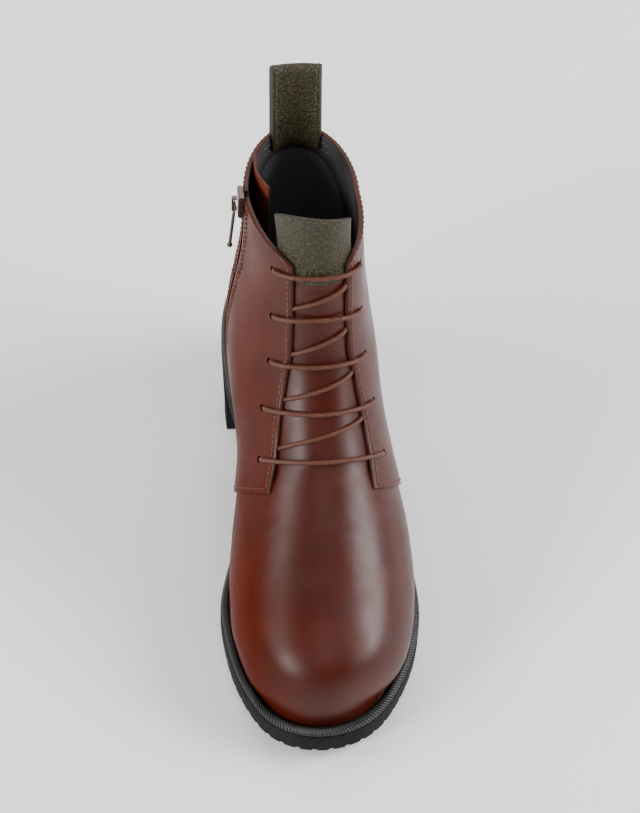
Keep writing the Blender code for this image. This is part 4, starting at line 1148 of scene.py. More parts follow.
def build_vamp(materials):
    """Vamp and the brown part of the tongue, one piece of leather."""
    sides, shares = fine_columns()
    throat = sides == 0
    vamp_rows = np.linspace(0.0, SEAM_ROW, VAMP_FINE)
    under = SEAM_ROW + LAP / (LAP_SHARE * SOLE_LENGTH) * np.linspace(0.15, 1.0, 4)
    tongue_rows = np.linspace(under[-1], TONGUE_JOINT_ROW + JOINT_ROWS, TONGUE_FINE)[1:]
    rows = np.concatenate([vamp_rows, under, tongue_rows])[:, None]
    on_tongue = rows > SEAM_ROW
    gap = np.where(on_tongue, tongue_half_width(rows), facing_gap(rows))
    v = columns_at(rows, sides, shares, gap)
    v = np.where(on_tongue & throat, tongue_place(rows, shares, 0.0)[1], v)
    sink = (QUARTER_INSIDE + FIT) * ease((rows - SEAM_ROW) / SINK_ROWS)
    sink = sink + TONGUE_SINK * ease((rows - TONGUE_JOINT_ROW + JOINT_START) / JOINT_ROWS)
    outside = -sink - np.where(on_tongue & ~throat, TONGUE_EDGE_TUCK, 0.0) - crease_depth(rows, v)
    cells = np.ones((len(rows) - 1, len(sides) - 1), dtype=bool)
    cells[len(vamp_rows) + 2:, ~(throat[:-1] | throat[1:])] = False
    outer = lifted(rows, v, outside)
    mesh = shell_mesh("vamp", outer, lifted(rows, v, outside - TONGUE_THICKNESS), cells)
    return add_piece("vamp_and_tongue", mesh, materials, replaced=("tongue",))


def quarter_grid(margin=0.0, drop=0.0):
    """Sides, rows and v of the quarters; a margin keeps them in from the facing's edge."""
    sides, across = fine_columns()
    across = across[sides != 0]
    sides = sides[sides != 0]
    shares = 1 - (1 - np.linspace(0.0, 1.0, QUARTER_FINE)) ** ROW_CROWDING
    top = smooth(TOP_LINE, 1, across) - drop
    rows = SEAM_ROW + (top - SEAM_ROW) * shares[:, None]
    edge = (facing_gap(rows) + margin) / half_girth(rows, sides)
    return sides, rows, sides * (1 - across * (1 - edge))


def quarter_cells(sides, rows):
    cells = np.ones((rows.shape[0] - 1, len(sides) - 1), dtype=bool)
    cells[:, np.count_nonzero(sides == INNER) - 1] = False
    return cells, rows[:, 0] >= HEEL_ROW


def edge_distance(sides, rows, v):
    """Distance of each place from the facing's edge or the top line, whichever is nearer."""
    facing = np.abs(v) * half_girth(rows, sides) - facing_gap(rows)
    return np.minimum(facing, (rows[-1] - rows) / ROWS_PER_METRE)


def build_quarters(materials):
    """Both quarters with rolled edges, lace holes and the slot of the zip."""
    sides, rows, v = quarter_grid()
    roll = EDGE_DROP * (1 - ease(edge_distance(sides, rows, v) / EDGE_ROLL))
    outer = lifted(rows, v, QUARTER_STEP - roll - crease_depth(rows, v))
    inner = lifted(rows, v, -QUARTER_INSIDE)
    mesh = shell_mesh("quarters", outer, inner, *quarter_cells(sides, rows))
    piece = add_piece("quarters", mesh, materials, replaced=("upper",))
    cut_out(piece, hole_pins())
    cut_out(piece, zip_box())
    piece.data.shade_smooth()
    sharp_by_angle(piece.data, QUARTER_SHARP)
    round_edges(piece, QUARTER_BEVEL)
    return piece


def facing_point(number, side):
    """Row and v of a lace hole, counted from the top."""
    rows = np.linspace(TOP_LINE[-1][1], SEAM_ROW, 80)
    run = run_lengths(on_grid(SKIN, rows, v_from_ridge(rows, facing_gap(rows), side)))
    row = float(np.interp(EYELET_START + number * EYELET_PITCH, run, rows))
    return row, v_from_ridge(row, facing_gap(row) + EYELET_INSET, side)


HOLE_SIDES = 28


def hole_pins():
    bm = bmesh.new()
    size = {"radius1": EYELET_RADIUS, "radius2": EYELET_RADIUS, "depth": 5 * WALL}
    for number in range(EYELET_COUNT):
        for side in (INNER, OUTER):
            row, v = facing_point(number, side)
            out = Vector(turned(normal_at(row, v)))
            pin = bmesh.ops.create_cone(bm, cap_ends=True, segments=HOLE_SIDES, **size)["verts"]
            bmesh.ops.rotate(bm, verts=pin, matrix=out.to_track_quat("Z", "Y").to_matrix())
            bmesh.ops.translate(bm, verts=pin, vec=Vector(world(lifted(row, v, 0.0))))
    return finished_mesh("hole_pins", bm)


def zip_box():
    """Slanted box that opens the slot, from its foot to over the collar."""
    foot = lifted(ZIP_FOOT_ROW, v_from_back(ZIP_FOOT_ROW, zip_place(ZIP_FOOT_ROW), INNER), 0.0)
    length = 2 * UPPER_RISE
    bm = bmesh.new()
    box = bmesh.ops.create_cube(bm, size=1.0)["verts"]
    bmesh.ops.scale(bm, verts=box, vec=(SOLE_WIDTH / 2, ZIP_SLOT * SLOT_CLOSED, length))
    bmesh.ops.translate(bm, verts=box, vec=(0.0, 0.0, length / 2))
    bmesh.ops.rotate(bm, verts=box, matrix=Matrix.Rotation(-math.atan(ZIP_LEAN), 3, "X"))
    bmesh.ops.translate(bm, verts=box, vec=Vector(world(foot)))
    return finished_mesh("zip_box", bm)


# Where the zip is looked for on the inner half: first and last share, and the number of places
ZIP_SEARCH = (-1.0, -0.3, 141)


def zip_place(row):
    """Distance from the back along the skin, on the inner side, where the zip runs."""
    v = np.linspace(*ZIP_SEARCH)
    line = on_grid(SKIN, row, v)
    wanted = ZIP_FOOT_S - ZIP_LEAN * (line[:, 2] - base_height(ZIP_FOOT_S))
    off = line[:, 1] - wanted
    k = int(np.argmax(off > 0))
    share = off[k - 1] / (off[k - 1] - off[k]) if k else 0.0
    at = v[k - 1] + (v[k] - v[k - 1]) * share if k else v[0]
    return (1 + at) * half_girth(row, INNER)


def zip_line(first, last, count):
    """Rows and distances from the back along the zip."""
    rows = np.linspace(first, last, count)
    return rows, np.array([zip_place(row) for row in rows])


def build_lining(materials):
    """Thin black lining inside the quarters."""
    sides, rows, v = quarter_grid(LINING_MARGIN, LINING_DROP)
    outer = lifted(rows, v, -QUARTER_INSIDE - LINING_NEAR)
    mesh = shell_mesh("lining", outer, lifted(rows, v, LINING_LEVEL), *quarter_cells(sides, rows))
    return add_piece("collar_lining", mesh, materials)


# Heel pad's edge: share of the way down its arc, row, reach from the back
HEEL_PAD = (
    (0.0, 0.968, 0.0),
    (0.2, 0.962, 0.014),
    (0.4, 0.938, 0.028),
    (0.6, 0.895, 0.039),
    (0.8, 0.840, 0.046),
    (1.0, 0.780, 0.050),
)


PAD_ROWS = 60
PAD_COLUMNS = 61
PAD_CROWDING = 1.3
PAD_LEAST = 0.0005
PAD_SKIN = 0.0002
PAD_SWELL = 0.0011
PAD_SIDE = 0.16
PAD_END = 0.012


def build_heel_pad(materials):
    """Padded patch inside the heel, its upper edge an arc."""
    steps = (np.linspace(0.0, 1.0, PAD_ROWS) ** PAD_CROWDING)[:, None]
    rows = smooth(HEEL_PAD, 1, steps)
    reach = np.maximum(smooth(HEEL_PAD, 2, steps), PAD_LEAST)
    shares = np.linspace(-1, 1, PAD_COLUMNS)
    v = v_from_back(rows, np.abs(shares) * reach, side_of(shares))
    swell = PAD_SWELL * ease((1 - np.abs(shares)) / PAD_SIDE) * ease((HEEL_PAD[0][1] - rows) / PAD_END)
    outer = lifted(rows, v, LINING_LEVEL)
    mesh = shell_mesh("heel_pad", outer, lifted(rows, v, LINING_LEVEL - PAD_SKIN - swell))
    return add_piece("heel_pad", mesh, materials)


OLIVE_FOOT_ROW = TONGUE_JOINT_ROW - 0.004
OLIVE_LEVEL = -(QUARTER_INSIDE + FIT) - 0.0002
OLIVE_ROWS = 80
OLIVE_COLUMNS = 71
OLIVE_END = 0.001
OLIVE_SIDE = 0.06
SIDE_DROP = 0.0004
END_DROP = 0.0003


def build_tongue_top(materials):
    """Olive top of the tongue, lapped over the brown leather, its end gently curved."""
    rows = np.linspace(OLIVE_FOOT_ROW, TONGUE_TOP_ROW - OLIVE_END, OLIVE_ROWS)[:, None]
    shares = np.linspace(-1, 1, OLIVE_COLUMNS)
    on_row, v = tongue_place(rows, shares, top_corner(rows))
    ends = np.minimum(rows - OLIVE_FOOT_ROW, TONGUE_TOP_ROW - rows) / ROWS_PER_METRE
    drop = SIDE_DROP * (1 - ease((1 - np.abs(shares)) / OLIVE_SIDE)) + END_DROP * (1 - ease(ends / OLIVE_END))
    outer = lifted(on_row, v, OLIVE_LEVEL - drop)
    mesh = shell_mesh("tongue_top", outer, lifted(on_row, v, OLIVE_LEVEL - TONGUE_THICKNESS))
    piece = add_piece("olive_tongue_top", mesh, materials, replaced=("tongue_top",))
    round_edges(piece, EDGE_BEVEL)
    return piece


# Pull loop
# The inner leg lies on a tighter curve, so it is spread to look as wide as the outer one
LOOP_INNER_SPREAD = 1.23
LEG_STEPS = 24
RISE_STEPS = 34
CROWN_STEPS = 24
LOOP_COLUMNS = 41


def loop_line(height, step, across):
    """The strap's line from edge to edge at a height over the collar, or below it."""
    collar = TOP_LINE[0][1]
    spread = LOOP_INNER_SPREAD if step < 0 else 1.0
    row = collar + min(height, 0.0) * ROWS_PER_METRE
    points = lifted(row, v_from_back(row, np.abs(across) * spread, side_of(across)), step)
    if height > 0:
        middle = lifted(collar, v_from_back(collar, 0.0, OUTER), step)
        flat = 1 - LOOP_FLATTEN * ease(height / LOOP_HEIGHT)
        points[:, 1] = middle[1] + (points[:, 1] - middle[1]) * flat
        points[:, 1] -= math.tan(math.radians(LOOP_LEAN)) * height
        points[:, 2] += height
    return points


def loop_rows(across):
    """Pairs of near and far lines: inner leg, crown and outer leg of the strap."""
    near = -(QUARTER_INSIDE + FIT)
    far = QUARTER_STEP + FIT
    legs = []
    for step, away in ((near, near - LOOP_THICKNESS), (far, far + LOOP_THICKNESS)):
        foot = -LOOP_INNER_LEG if step < 0 else -LOOP_OUTER_LEG
        rise = np.linspace(0.0, LOOP_HEIGHT, RISE_STEPS)[1:]
        heights = np.concatenate([np.linspace(foot, 0.0, LEG_STEPS), rise])
        legs.append([(loop_line(z, step, across), loop_line(z, away, across)) for z in heights])
    crown = []
    for turn in np.linspace(0.0, math.pi, CROWN_STEPS)[1:-1]:
        lines = []
        for a, b in zip(legs[0][-1], legs[1][-1]):
            reach = (a - b) / 2
            up = np.zeros_like(a)
            up[:, 2] = np.linalg.norm(reach, axis=1)
            lines.append((a + b) / 2 + reach * math.cos(turn) + up * math.sin(turn))
        crown.append(tuple(lines))
    return legs[0] + crown + legs[1][::-1]


def build_loop(materials):
    lines = loop_rows(np.linspace(-LOOP_WIDTH / 2, LOOP_WIDTH / 2, LOOP_COLUMNS))
    close, away = (np.array([pair[k] for pair in lines]) for k in (0, 1))
    mesh = shell_mesh("pull_loop", away, close)
    piece = add_piece("pull_loop_strap", mesh, materials, replaced=("pull_loop",))
    round_edges(piece, LOOP_BEVEL)
    return piece


# Stitches
STITCH_LENGTH = 0.0021
STITCH_GAP = 0.0009
STITCH_RADIUS = 0.00030
TACK_RADIUS = 0.00026
LINING_THREAD = 0.00024
FACING_INSET = 0.0021
SEAM_INSET = 0.0022
TOP_INSET = 0.0018
ZIP_STITCHES = (-0.0046, -0.0072, 0.0046, 0.0072)
RUN_END = 0.985
RUN_MARGIN = 0.004
RUN_POINTS = 80
THREAD_SIDES = 6
SEAM_ROWS_PER_METRE = 3.1
TACK_ROWS_PER_METRE = 3.0
SEAM_START = 0.002
FACING_FOOT = 0.006
STRAP_INSET = 0.0018
STRAP_STEP = 0.0005
OLIVE_STITCH_ROWS = (TONGUE_TOP_ROW - 0.0075, OLIVE_FOOT_ROW + 0.005)
OLIVE_STITCH_END = 0.96
LINING_STITCH_ROWS = (0.985, 0.975)
LINING_STITCH_REACH = 0.02
PAD_STITCH_GAP = 0.0012


def stitch_parts(path, normals, radius=STITCH_RADIUS):
    """Short round threads along a path, each end turned down into the leather."""
    marks = even_steps(np.hstack([path, normals]), STITCH_LENGTH + STITCH_GAP)
    centres = marks[:, :3]
    if len(centres) < 2:
        return []
    parts = []
    shares = np.linspace(-0.5, 0.5, 6)[:, None]
    for centre, out, ahead in zip(centres, unit(marks[:, 3:]), unit(np.gradient(centres, axis=0))):
        line = centre + ahead * shares * STITCH_LENGTH + out * radius * (0.75 - 5.0 * shares ** 2)
        parts.append(tube_points(line, radius, THREAD_SIDES))
    return parts


def stitched(row, v, level, radius=STITCH_RADIUS, facing=1):
    """Stitches over the skin along arrays of places; `facing` is -1 on its inside."""
    path = world(lifted(row, v, level))
    return stitch_parts(path, facing * turned(normal_at(row, v)), radius)


def facing_run(side):
    top = TOP_LINE[-1][1] - RUN_MARGIN
    rows = top - (top - SEAM_ROW - FACING_FOOT) * np.linspace(0.0, 1.0, RUN_POINTS)
    return rows, v_from_ridge(rows, facing_gap(rows) + FACING_INSET, side)


def top_run(side):
    """Along the collar, from the back to the facing."""
    across = np.linspace(0.0, RUN_END, 90)
    rows = smooth(TOP_LINE, 1, across) - TOP_INSET * ROWS_PER_METRE
    edge = facing_gap(rows) / half_girth(rows, side)
    return rows, side * (1 - across * (1 - edge))


def seam_run(side):
    """Along the quarter's lower edge, from the square corner down to the sole."""
    row = SEAM_ROW + SEAM_INSET * SEAM_ROWS_PER_METRE
    edge = (facing_gap(row) + SEAM_START) / half_girth(row, side)
    return row, side * (edge + (RUN_END - edge) * np.linspace(0.0, 1.0, 60))


def zip_run(offset):
    rows, middle = zip_line(ZIP_FOOT_ROW - RUN_MARGIN, TOP_LINE[0][1] - RUN_MARGIN, RUN_POINTS)
    return rows, v_from_back(rows, middle + offset, INNER)


def corner_tack(side):
    """Bar tacks in the square corner of the quarter."""
    parts = []
    reach = np.linspace(0.0024, 0.0066, 4)
    for step in np.linspace(0.0020, 0.0062, 5):
        row = SEAM_ROW + step * TACK_ROWS_PER_METRE
        parts += stitched(row, v_from_ridge(row, facing_gap(row) + reach, side), QUARTER_STEP, TACK_RADIUS)
    return parts


def build_stitches(thread, dark_thread):
    tan = []
    brown = []
    for side in (INNER, OUTER):
        tan += stitched(*facing_run(side), QUARTER_STEP)
        brown += stitched(*seam_run(side), QUARTER_STEP)
        brown += stitched(*top_run(side), QUARTER_STEP)
        tan += corner_tack(side)
    for offset in ZIP_STITCHES:
        brown += stitched(*zip_run(offset), QUARTER_STEP)
    add_piece("facing_stitches", joined_mesh("facing_stitches", tan), [thread])
    add_piece("seam_stitches", joined_mesh("seam_stitches", brown), [dark_thread])


def build_olive_stitches(thread):
    """Rows along the strap's edges, across the tongue's top and along the olive panel's foot."""
    parts = []
    for edge in (-1, 1):
        x = edge * (LOOP_WIDTH / 2 - STRAP_INSET)
        lines = loop_rows(np.array([x - STRAP_STEP, x, x + STRAP_STEP]))
        near, middle = (world(np.array([pair[k][1] for pair in lines])) for k in (0, 1))
        parts += stitch_parts(middle, middle - near, TACK_RADIUS)
    shares = np.linspace(-OLIVE_STITCH_END, OLIVE_STITCH_END, 60)
    for row in OLIVE_STITCH_ROWS:
        parts += stitched(*tongue_place(row, shares, top_corner(row)), OLIVE_LEVEL, TACK_RADIUS)
    add_piece("olive_stitches", joined_mesh("olive_stitches", parts), [thread])


def build_lining_stitches(thread):
    """Two rows across the inside of the loop's foot and one round the heel pad."""
    parts = []
    across = np.linspace(-LINING_STITCH_REACH, LINING_STITCH_REACH, 40)
    for row in LINING_STITCH_ROWS:
        v = v_from_back(row, np.abs(across), side_of(across))
        parts += stitched(row, v, LINING_LEVEL, LINING_THREAD, -1)
    steps = np.linspace(0.0, 1.0, RUN_POINTS)
    rows = smooth(HEEL_PAD, 1, steps)
    reach = smooth(HEEL_PAD, 2, steps) + PAD_STITCH_GAP
    for side in (INNER, OUTER):
        parts += stitched(rows, v_from_back(rows, reach, side), LINING_LEVEL, LINING_THREAD, -1)
    add_piece("lining_stitches", joined_mesh("lining_stitches", parts), [thread])


# Zip
TAPE_FRONT = -0.0001
TAPE_BACK = -0.0006
TAPE_COLUMNS = 9
GUARD_OVER = 0.012
TOOTH_PITCH = 0.00125
TOOTH_LEVEL = 0.0001
TOOTH_RISE = 0.0002
TOOTH_REACH = (-0.0006, 0.0, 0.0013)
TOOTH_RADII = (0.0005, 0.0006, 0.0004)


def build_zip(cloth, metal):
    rows, middle = zip_line(ZIP_FOOT_ROW + 0.004, TOP_LINE[0][1] - 0.006, 90)
    rows = rows[:, None]
    width = np.linspace(-0.5, 0.5, TAPE_COLUMNS) * (ZIP_SLOT - 2 * FIT)
    v = v_from_back(rows, middle[:, None] + width, INNER)
    mesh = shell_mesh("zip_tape_cloth", lifted(rows, v, TAPE_FRONT), lifted(rows, v, TAPE_BACK))
    add_piece("zip_tape_cloth", mesh, [cloth, cloth], replaced=("zip_tape",))
    rows, middle = zip_line(ZIP_FOOT_ROW + 0.008, TOP_LINE[0][1] - 0.012, 120)
    v = v_from_back(rows, middle, INNER)
    path = np.hstack([world(lifted(rows, v, TOOTH_LEVEL)), turned(normal_at(rows, v))])
    steps = even_steps(path, TOOTH_PITCH)
    parts = []
    for k, (step, ahead) in enumerate(zip(steps, unit(np.gradient(steps[:, :3], axis=0)))):
        out = unit(step[3:])
        side = np.cross(out, ahead) * (1 if k % 2 else -1)
        line = [step[:3] + side * reach + out * TOOTH_RISE for reach in TOOTH_REACH]
        parts.append(tube_points(line, np.array(TOOTH_RADII), 6))
    add_piece("zip_teeth", joined_mesh("zip_teeth", parts), [metal])


def build_guard(materials):
    """Leather flap behind the zip, its free edge standing in and curling."""
    collar = TOP_LINE[0][1]
    rows = np.linspace(collar - GUARD_LENGTH * ROWS_PER_METRE, collar + GUARD_OVER, 60)[:, None]
    shares = np.linspace(0.0, 1.0, 40)
    v = v_from_back(rows, GUARD_START + shares * GUARD_WIDTH, INNER)
    stand = QUARTER_INSIDE + FIT + GUARD_STAND * shares ** GUARD_CURL
    mesh = shell_mesh("zip_guard", lifted(rows, v, -stand), lifted(rows, v, -(stand + GUARD_THICKNESS)))
    piece = add_piece("zip_guard_flap", mesh, materials, replaced=("zip_guard",))
    round_edges(piece, EDGE_BEVEL)
    return piece


# Laces
CORD_RADIUS = 0.00112
CORD_SIDES = 14
BAR_POINTS = 130
DIAGONAL_POINTS = 110
BAR_OVER_EDGE = 0.0001
BAR_OVER_TONGUE = 0.0004
DIAGONAL_OVER_TONGUE = 0.0001
DIAGONAL_UNDER_EDGE = 0.0008

# Shares of the gap from which a cord rises over the facing or dips under it, and over which it does
BAR_CLIMB = (0.35, 0.6)
DIAGONAL_DIP = (0.94, 0.14)
HOLE_LIFTS = (-0.0030, 0.0004)
BAR_SHARES = (0.05, 0.17, 0.30, 0.42, 0.5, 0.58, 0.70, 0.83, 0.95)


def smooth_path(points, count):
    """Even, rounded path through given points."""
    points = np.asarray(points)
    for _ in range(3):
        first = 0.75 * points[:-1] + 0.25 * points[1:]
        second = 0.25 * points[:-1] + 0.75 * points[1:]
        middle = np.stack([first, second], axis=1).reshape(-1, 3)
        points = np.vstack([points[:1], middle, points[-1:]])
    return resample(points, count)


def beside(row, distance, lift):
    return world(lifted(row, v_across(row, distance), lift))


# How far each bar's middle lies above the line of its holes, in rows
BAR_RISE = (0.0090, 0.0075, 0.0032, 0.0032, -0.0025)


def lace_bar(number):
    """One bar: out of the inner hole, over both edges and the tongue, into the outer hole."""
    row_in, v_in = facing_point(number, INNER)
    row_out, v_out = facing_point(number, OUTER)
    start = v_in * half_girth(row_in, INNER)
    end = v_out * half_girth(row_out, OUTER)
    on_top = QUARTER_STEP + CORD_RADIUS + BAR_OVER_EDGE
    over_tongue = CORD_RADIUS - QUARTER_INSIDE - FIT + BAR_OVER_TONGUE
    share = np.array(BAR_SHARES)
    at = start + (end - start) * share
    rows = row_in + (row_out - row_in) * share + BAR_RISE[number] * np.sin(math.pi * share)
    gap = facing_gap(rows)
    start_share, run_share = BAR_CLIMB
    climb = ease((np.abs(at) - start_share * gap) / (run_share * gap))
    level = over_tongue + (on_top - over_tongue) * climb
    first = [beside(row_in, start, lift) for lift in HOLE_LIFTS]
    last = [beside(row_out, end, lift) for lift in HOLE_LIFTS[::-1]]
    return smooth_path(np.vstack([first, beside(rows, at, level), last]), BAR_POINTS)


def lace_diagonal(number):
    """From under the outer facing, over the tongue, to under the inner facing one hole down."""
    row_out, v_out = facing_point(number, OUTER)
    row_in, v_in = facing_point(number + 1, INNER)
    start = v_out * half_girth(row_out, OUTER)
    finish = v_in * half_girth(row_in, INNER)
    first = row_out - LACE_TURN * ROWS_PER_METRE
    last = row_in + LACE_TURN * ROWS_PER_METRE
    under = -QUARTER_INSIDE - DIAGONAL_UNDER_EDGE
    over_tongue = CORD_RADIUS - QUARTER_INSIDE - FIT + DIAGONAL_OVER_TONGUE
    share = np.linspace(0.0, 1.0, 13)
    at = start + (finish - start) * share
    rows = first + (last - first) * share
    gap = facing_gap(rows)
    start_share, run_share = DIAGONAL_DIP
    hidden = ease((np.abs(at) - start_share * gap) / (run_share * gap))
    return smooth_path(beside(rows, at, over_tongue + (under - over_tongue) * hidden), DIAGONAL_POINTS)


def build_laces(material):
    paths = [lace_bar(number) for number in range(EYELET_COUNT)]
    paths += [lace_diagonal(number) for number in range(EYELET_COUNT - 1)]
    parts = [tube_points(path, CORD_RADIUS, CORD_SIDES) for path in paths]
    add_piece("lace_through_holes", joined_mesh("laces", parts), [material], replaced=("laces",))


# Sole
SOLE_FINE = 200
RIM = 0.0009
BLOCK_RIM = 0.0005
LIFT_RIM = 0.0006
RIM_STEPS = 4
GROOVE_STEPS = 8
SOLE_SHARP = 50.0
HEEL_SHARP = 40.0


def ring_points(inset, height, start=0.0, end=None, count=SOLE_FINE):
    """Closed ring: inner side from the heel to the toe, then the outer side back."""
    sides = []
    for edge in outline(inset, start, end):
        keep = np.linspace(0, len(edge) - 1, count).round().astype(int)
        x = edge[keep, 0]
        s = edge[keep, 1]
        sides.append(np.column_stack([x, s, height(s)]))
    return np.vstack([sides[0], sides[1][-2:0:-1] if start == 0.0 and end is None else sides[1][::-1]])


def ring_body(name, rings, caps=True):
    """Closed body through rings of equal count, with its ends capped by strips of faces."""
    count = len(rings[0])
    points = np.concatenate(rings)
    faces = []
    for level in range(len(rings) - 1):
        for k in range(count):
            n = (k + 1) % count
            low = level * count
            high = low + count
            faces.append([low + k, low + n, high + n, high + k])
    if caps:
        for base in (0, (len(rings) - 1) * count):
            left = 0
            right = count
            while right - left > 2:
                a, b = left, left + 1
                c, d = (right - 1) % count, right % count
                faces.append([base + k for k in dict.fromkeys((a, b, c, d))])
                left += 1
                right -= 1
    else:
        last = (len(rings) - 1) * count
        for k in range(count):
            n = (k + 1) % count
            faces.append([last + k, last + n, n, k])
    return build_mesh(name, world(points), faces)


def sole_under(s):
    """Underside of the outsole: the platform's in front, a thin shank and seat behind."""
    thin = OUTSOLE_THICKNESS * SHANK_THIN
    share = ease((s / SOLE_LENGTH - SHANK_END) / SHANK_RUN)
    return sole_top(s) - (thin + (OUTSOLE_THICKNESS - thin) * share)


def rounded_rings(low, high, start=0.0, end=None, inset=0.0, rim=RIM, taper=0.0):
    """Rings of an upright band with rounded rims; `taper` moves its foot in."""
    rings = []
    turns = np.linspace(0, math.pi / 2, RIM_STEPS)
    for turn in turns:
        inward = inset + taper + rim * (1 - math.sin(turn))
        rings.append(ring_points(inward, lambda s: low(s) + rim * (1 - math.cos(turn)), start, end))
    for turn in turns[::-1]:
        inward = inset + rim * (1 - math.sin(turn))
        rings.append(ring_points(inward, lambda s: high(s) - rim * (1 - math.cos(turn)), start, end))
    return rings


def groove_boxes():
    """Notches around the bottom edge of the forefoot."""
    bm = bmesh.new()
    for edge in outline(0.0):
        run = edge[edge[:, 1] > GROOVE_START * SOLE_LENGTH]
        length = np.linalg.norm(np.diff(run, axis=0), axis=1).sum()
        count = int(length / GROOVE_PITCH)
        stations = resample(run, count * GROOVE_STEPS + 1)
        for k in range(count):
            middle = GROOVE_STEPS * k + GROOVE_STEPS // 2
            x, s = stations[middle]
            ahead = stations[middle + 1] - stations[middle - 1]
            angle = math.atan2(-ahead[1], ahead[0])
            box = bmesh.ops.create_cube(bm, size=1.0)["verts"]
            bmesh.ops.scale(bm, verts=box, vec=(GROOVE_WIDTH, 5 * GROOVE_WIDTH, 2 * GROOVE_DEPTH))
            bmesh.ops.rotate(bm, verts=box, matrix=Matrix.Rotation(angle, 3, "Z"))
            bmesh.ops.translate(bm, verts=box, vec=Vector(world((x, s, sole_bottom(s)))))
    return finished_mesh("groove_boxes", bm)


def build_outsole(material):
    mesh = ring_body("outsole_body", rounded_rings(sole_under, sole_top))
    piece = add_piece("outsole_unit", mesh, [material], replaced=("outsole",))
    cut_out(piece, groove_boxes())
    piece.data.shade_smooth()
    sharp_by_angle(piece.data, SOLE_SHARP)
    return piece


def heel_end(height):
    return HEEL_LENGTH + BREAST_LEAN * float(np.mean(height(np.array([HEEL_LENGTH]))))


def build_heel(material):
    def block_foot(s):
        return np.full(np.shape(s), LIFT_THICKNESS + FIT)

    def block_top(s):
        return sole_under(s) - FIT

    def floor(s):
        return np.zeros(np.shape(s))

    def lift_top(s):
        return np.full(np.shape(s), LIFT_THICKNESS)

    rings = rounded_rings(block_foot, block_top, 0.0, heel_end(block_foot), rim=BLOCK_RIM, taper=HEEL_TAPER)
    mesh = ring_body("heel_block", rings)
    sharp_by_angle(mesh, HEEL_SHARP)
    add_piece("heel_block", mesh, [material], replaced=("heel",))
    rings = rounded_rings(floor, lift_top, 0.0, heel_end(floor), inset=HEEL_TAPER, rim=LIFT_RIM)
    mesh = ring_body("top_lift", rings)
    sharp_by_angle(mesh, HEEL_SHARP)
    add_piece("heel_lift", mesh, [material], replaced=("heel_top_lift",))


RIB_PITCH = 0.0016
RIB_SLANT = 0.85
RIB_RISE = 0.0007
RIB_RADIUS = 0.00078
RIB_TURN = 1.25
BEAD_INSET = 0.0022
RIB_POINTS = 7
RIB_SIDES = 8
RIB_THIN = 0.8

# Heights on the welt as shares of its own: the strip's shoulder and lip, the ribs' middle and foot
SHOULDER = 0.45
LIP = 0.3
RIB_MIDDLE = 0.52
RIB_FOOT = 0.22
LIP_WIDTH = 0.0004
RIB_OUT = 0.0002


def build_welt(material):
    """Rope-like band on the ledge: a flat strip with slanted ribs all round."""
    def inside(s):
        return ledge(s) * (1 - smooth(LEDGE_CLEAR, 1, s / SOLE_LENGTH))

    def at_height(share):
        return lambda s: sole_top(s) + share * WELT_HEIGHT

    def low(s):
        return sole_top(s) + FIT

    profile = (
        (inside, low),
        (inside, at_height(SHOULDER)),
        (WELT_INSET + LIP_WIDTH, at_height(SHOULDER)),
        (WELT_INSET, at_height(LIP)),
        (WELT_INSET, low),
    )
    band = ring_body("welt_band", [ring_points(*line) for line in profile], caps=False)
    sharp_by_angle(band, HEEL_SHARP)
    add_piece("welt_band", band, [material], replaced=("welt",))
    centre = ring_points(BEAD_INSET, at_height(RIB_MIDDLE))
    outer = ring_points(WELT_INSET - RIB_OUT, at_height(RIB_FOOT))
    both = np.hstack([centre, outer])
    steps = even_steps(np.vstack([both, both[:1]]), RIB_PITCH)
    parts = []
    turns = np.linspace(-RIB_TURN, RIB_TURN, RIB_POINTS)
    reach = np.sin(turns)[:, None]
    rise = RIB_RISE * np.cos(turns)[:, None]
    for step, ahead in zip(steps, unit(np.gradient(steps[:, :3], axis=0))):
        across = step[3:6] - step[:3]
        across -= ahead * across.dot(ahead)
        half = np.linalg.norm(across)
        up = np.cross(ahead, across / half)
        up *= np.sign(up[2])
        line = step[:3] + across * reach + up * rise + ahead * RIB_SLANT * half * reach
        parts.append(tube_points(world(line), RIB_RADIUS * np.cos(turns * RIB_THIN), RIB_SIDES))
    add_piece("welt_ribs", joined_mesh("welt_ribs", parts), [material])


# Stage and camera
# Backdrop: reach from the boot and height of its rim, in metres, so that it has no edge in view
BACKDROP = ((0.0, 0.0), (0.4, 0.0), (1.0, 0.0), (2.0, 0.0), (2.3, 0.05), (2.6, 0.2), (2.85, 0.5), (3.0, 1.0))
BACKDROP_SIDES = 96
BACKDROP_DROP = 0.0002


def build_stage(material):
    """A pale bowl round the boot: flat where it stands, curved up far away."""
    bm = bmesh.new()
    rings = []
    for reach, height in BACKDROP:
        ring = []
        for side in range(BACKDROP_SIDES if reach else 1):
            turn = side * math.tau / BACKDROP_SIDES
            place = (reach * math.cos(turn), reach * math.sin(turn), height - BACKDROP_DROP)
            ring.append(bm.verts.new(place))
        rings.append(ring)
    for inner, outer in zip(rings, rings[1:]):
        for side in range(BACKDROP_SIDES):
            after = (side + 1) % BACKDROP_SIDES
            if len(inner) == 1:
                bm.faces.new((inner[0], outer[side], outer[after]))
            else:
                bm.faces.new((inner[side], outer[side], outer[after], inner[after]))
    mesh = finished_mesh("backdrop", bm)
    mesh.shade_smooth()
    mesh.materials.append(material)
    floor = bpy.data.objects.new("backdrop", mesh)
    bpy.context.scene.collection.objects.link(floor)


def aim(thing, target, up=(0.0, 0.0, 1.0)):
    """Turns a camera or a lamp to look at a point."""
    back = (thing.location - Vector(target)).normalized()
    right = Vector(up).cross(back).normalized()
    above = back.cross(right)
    thing.rotation_euler = Matrix((right, above, back)).transposed().to_euler()


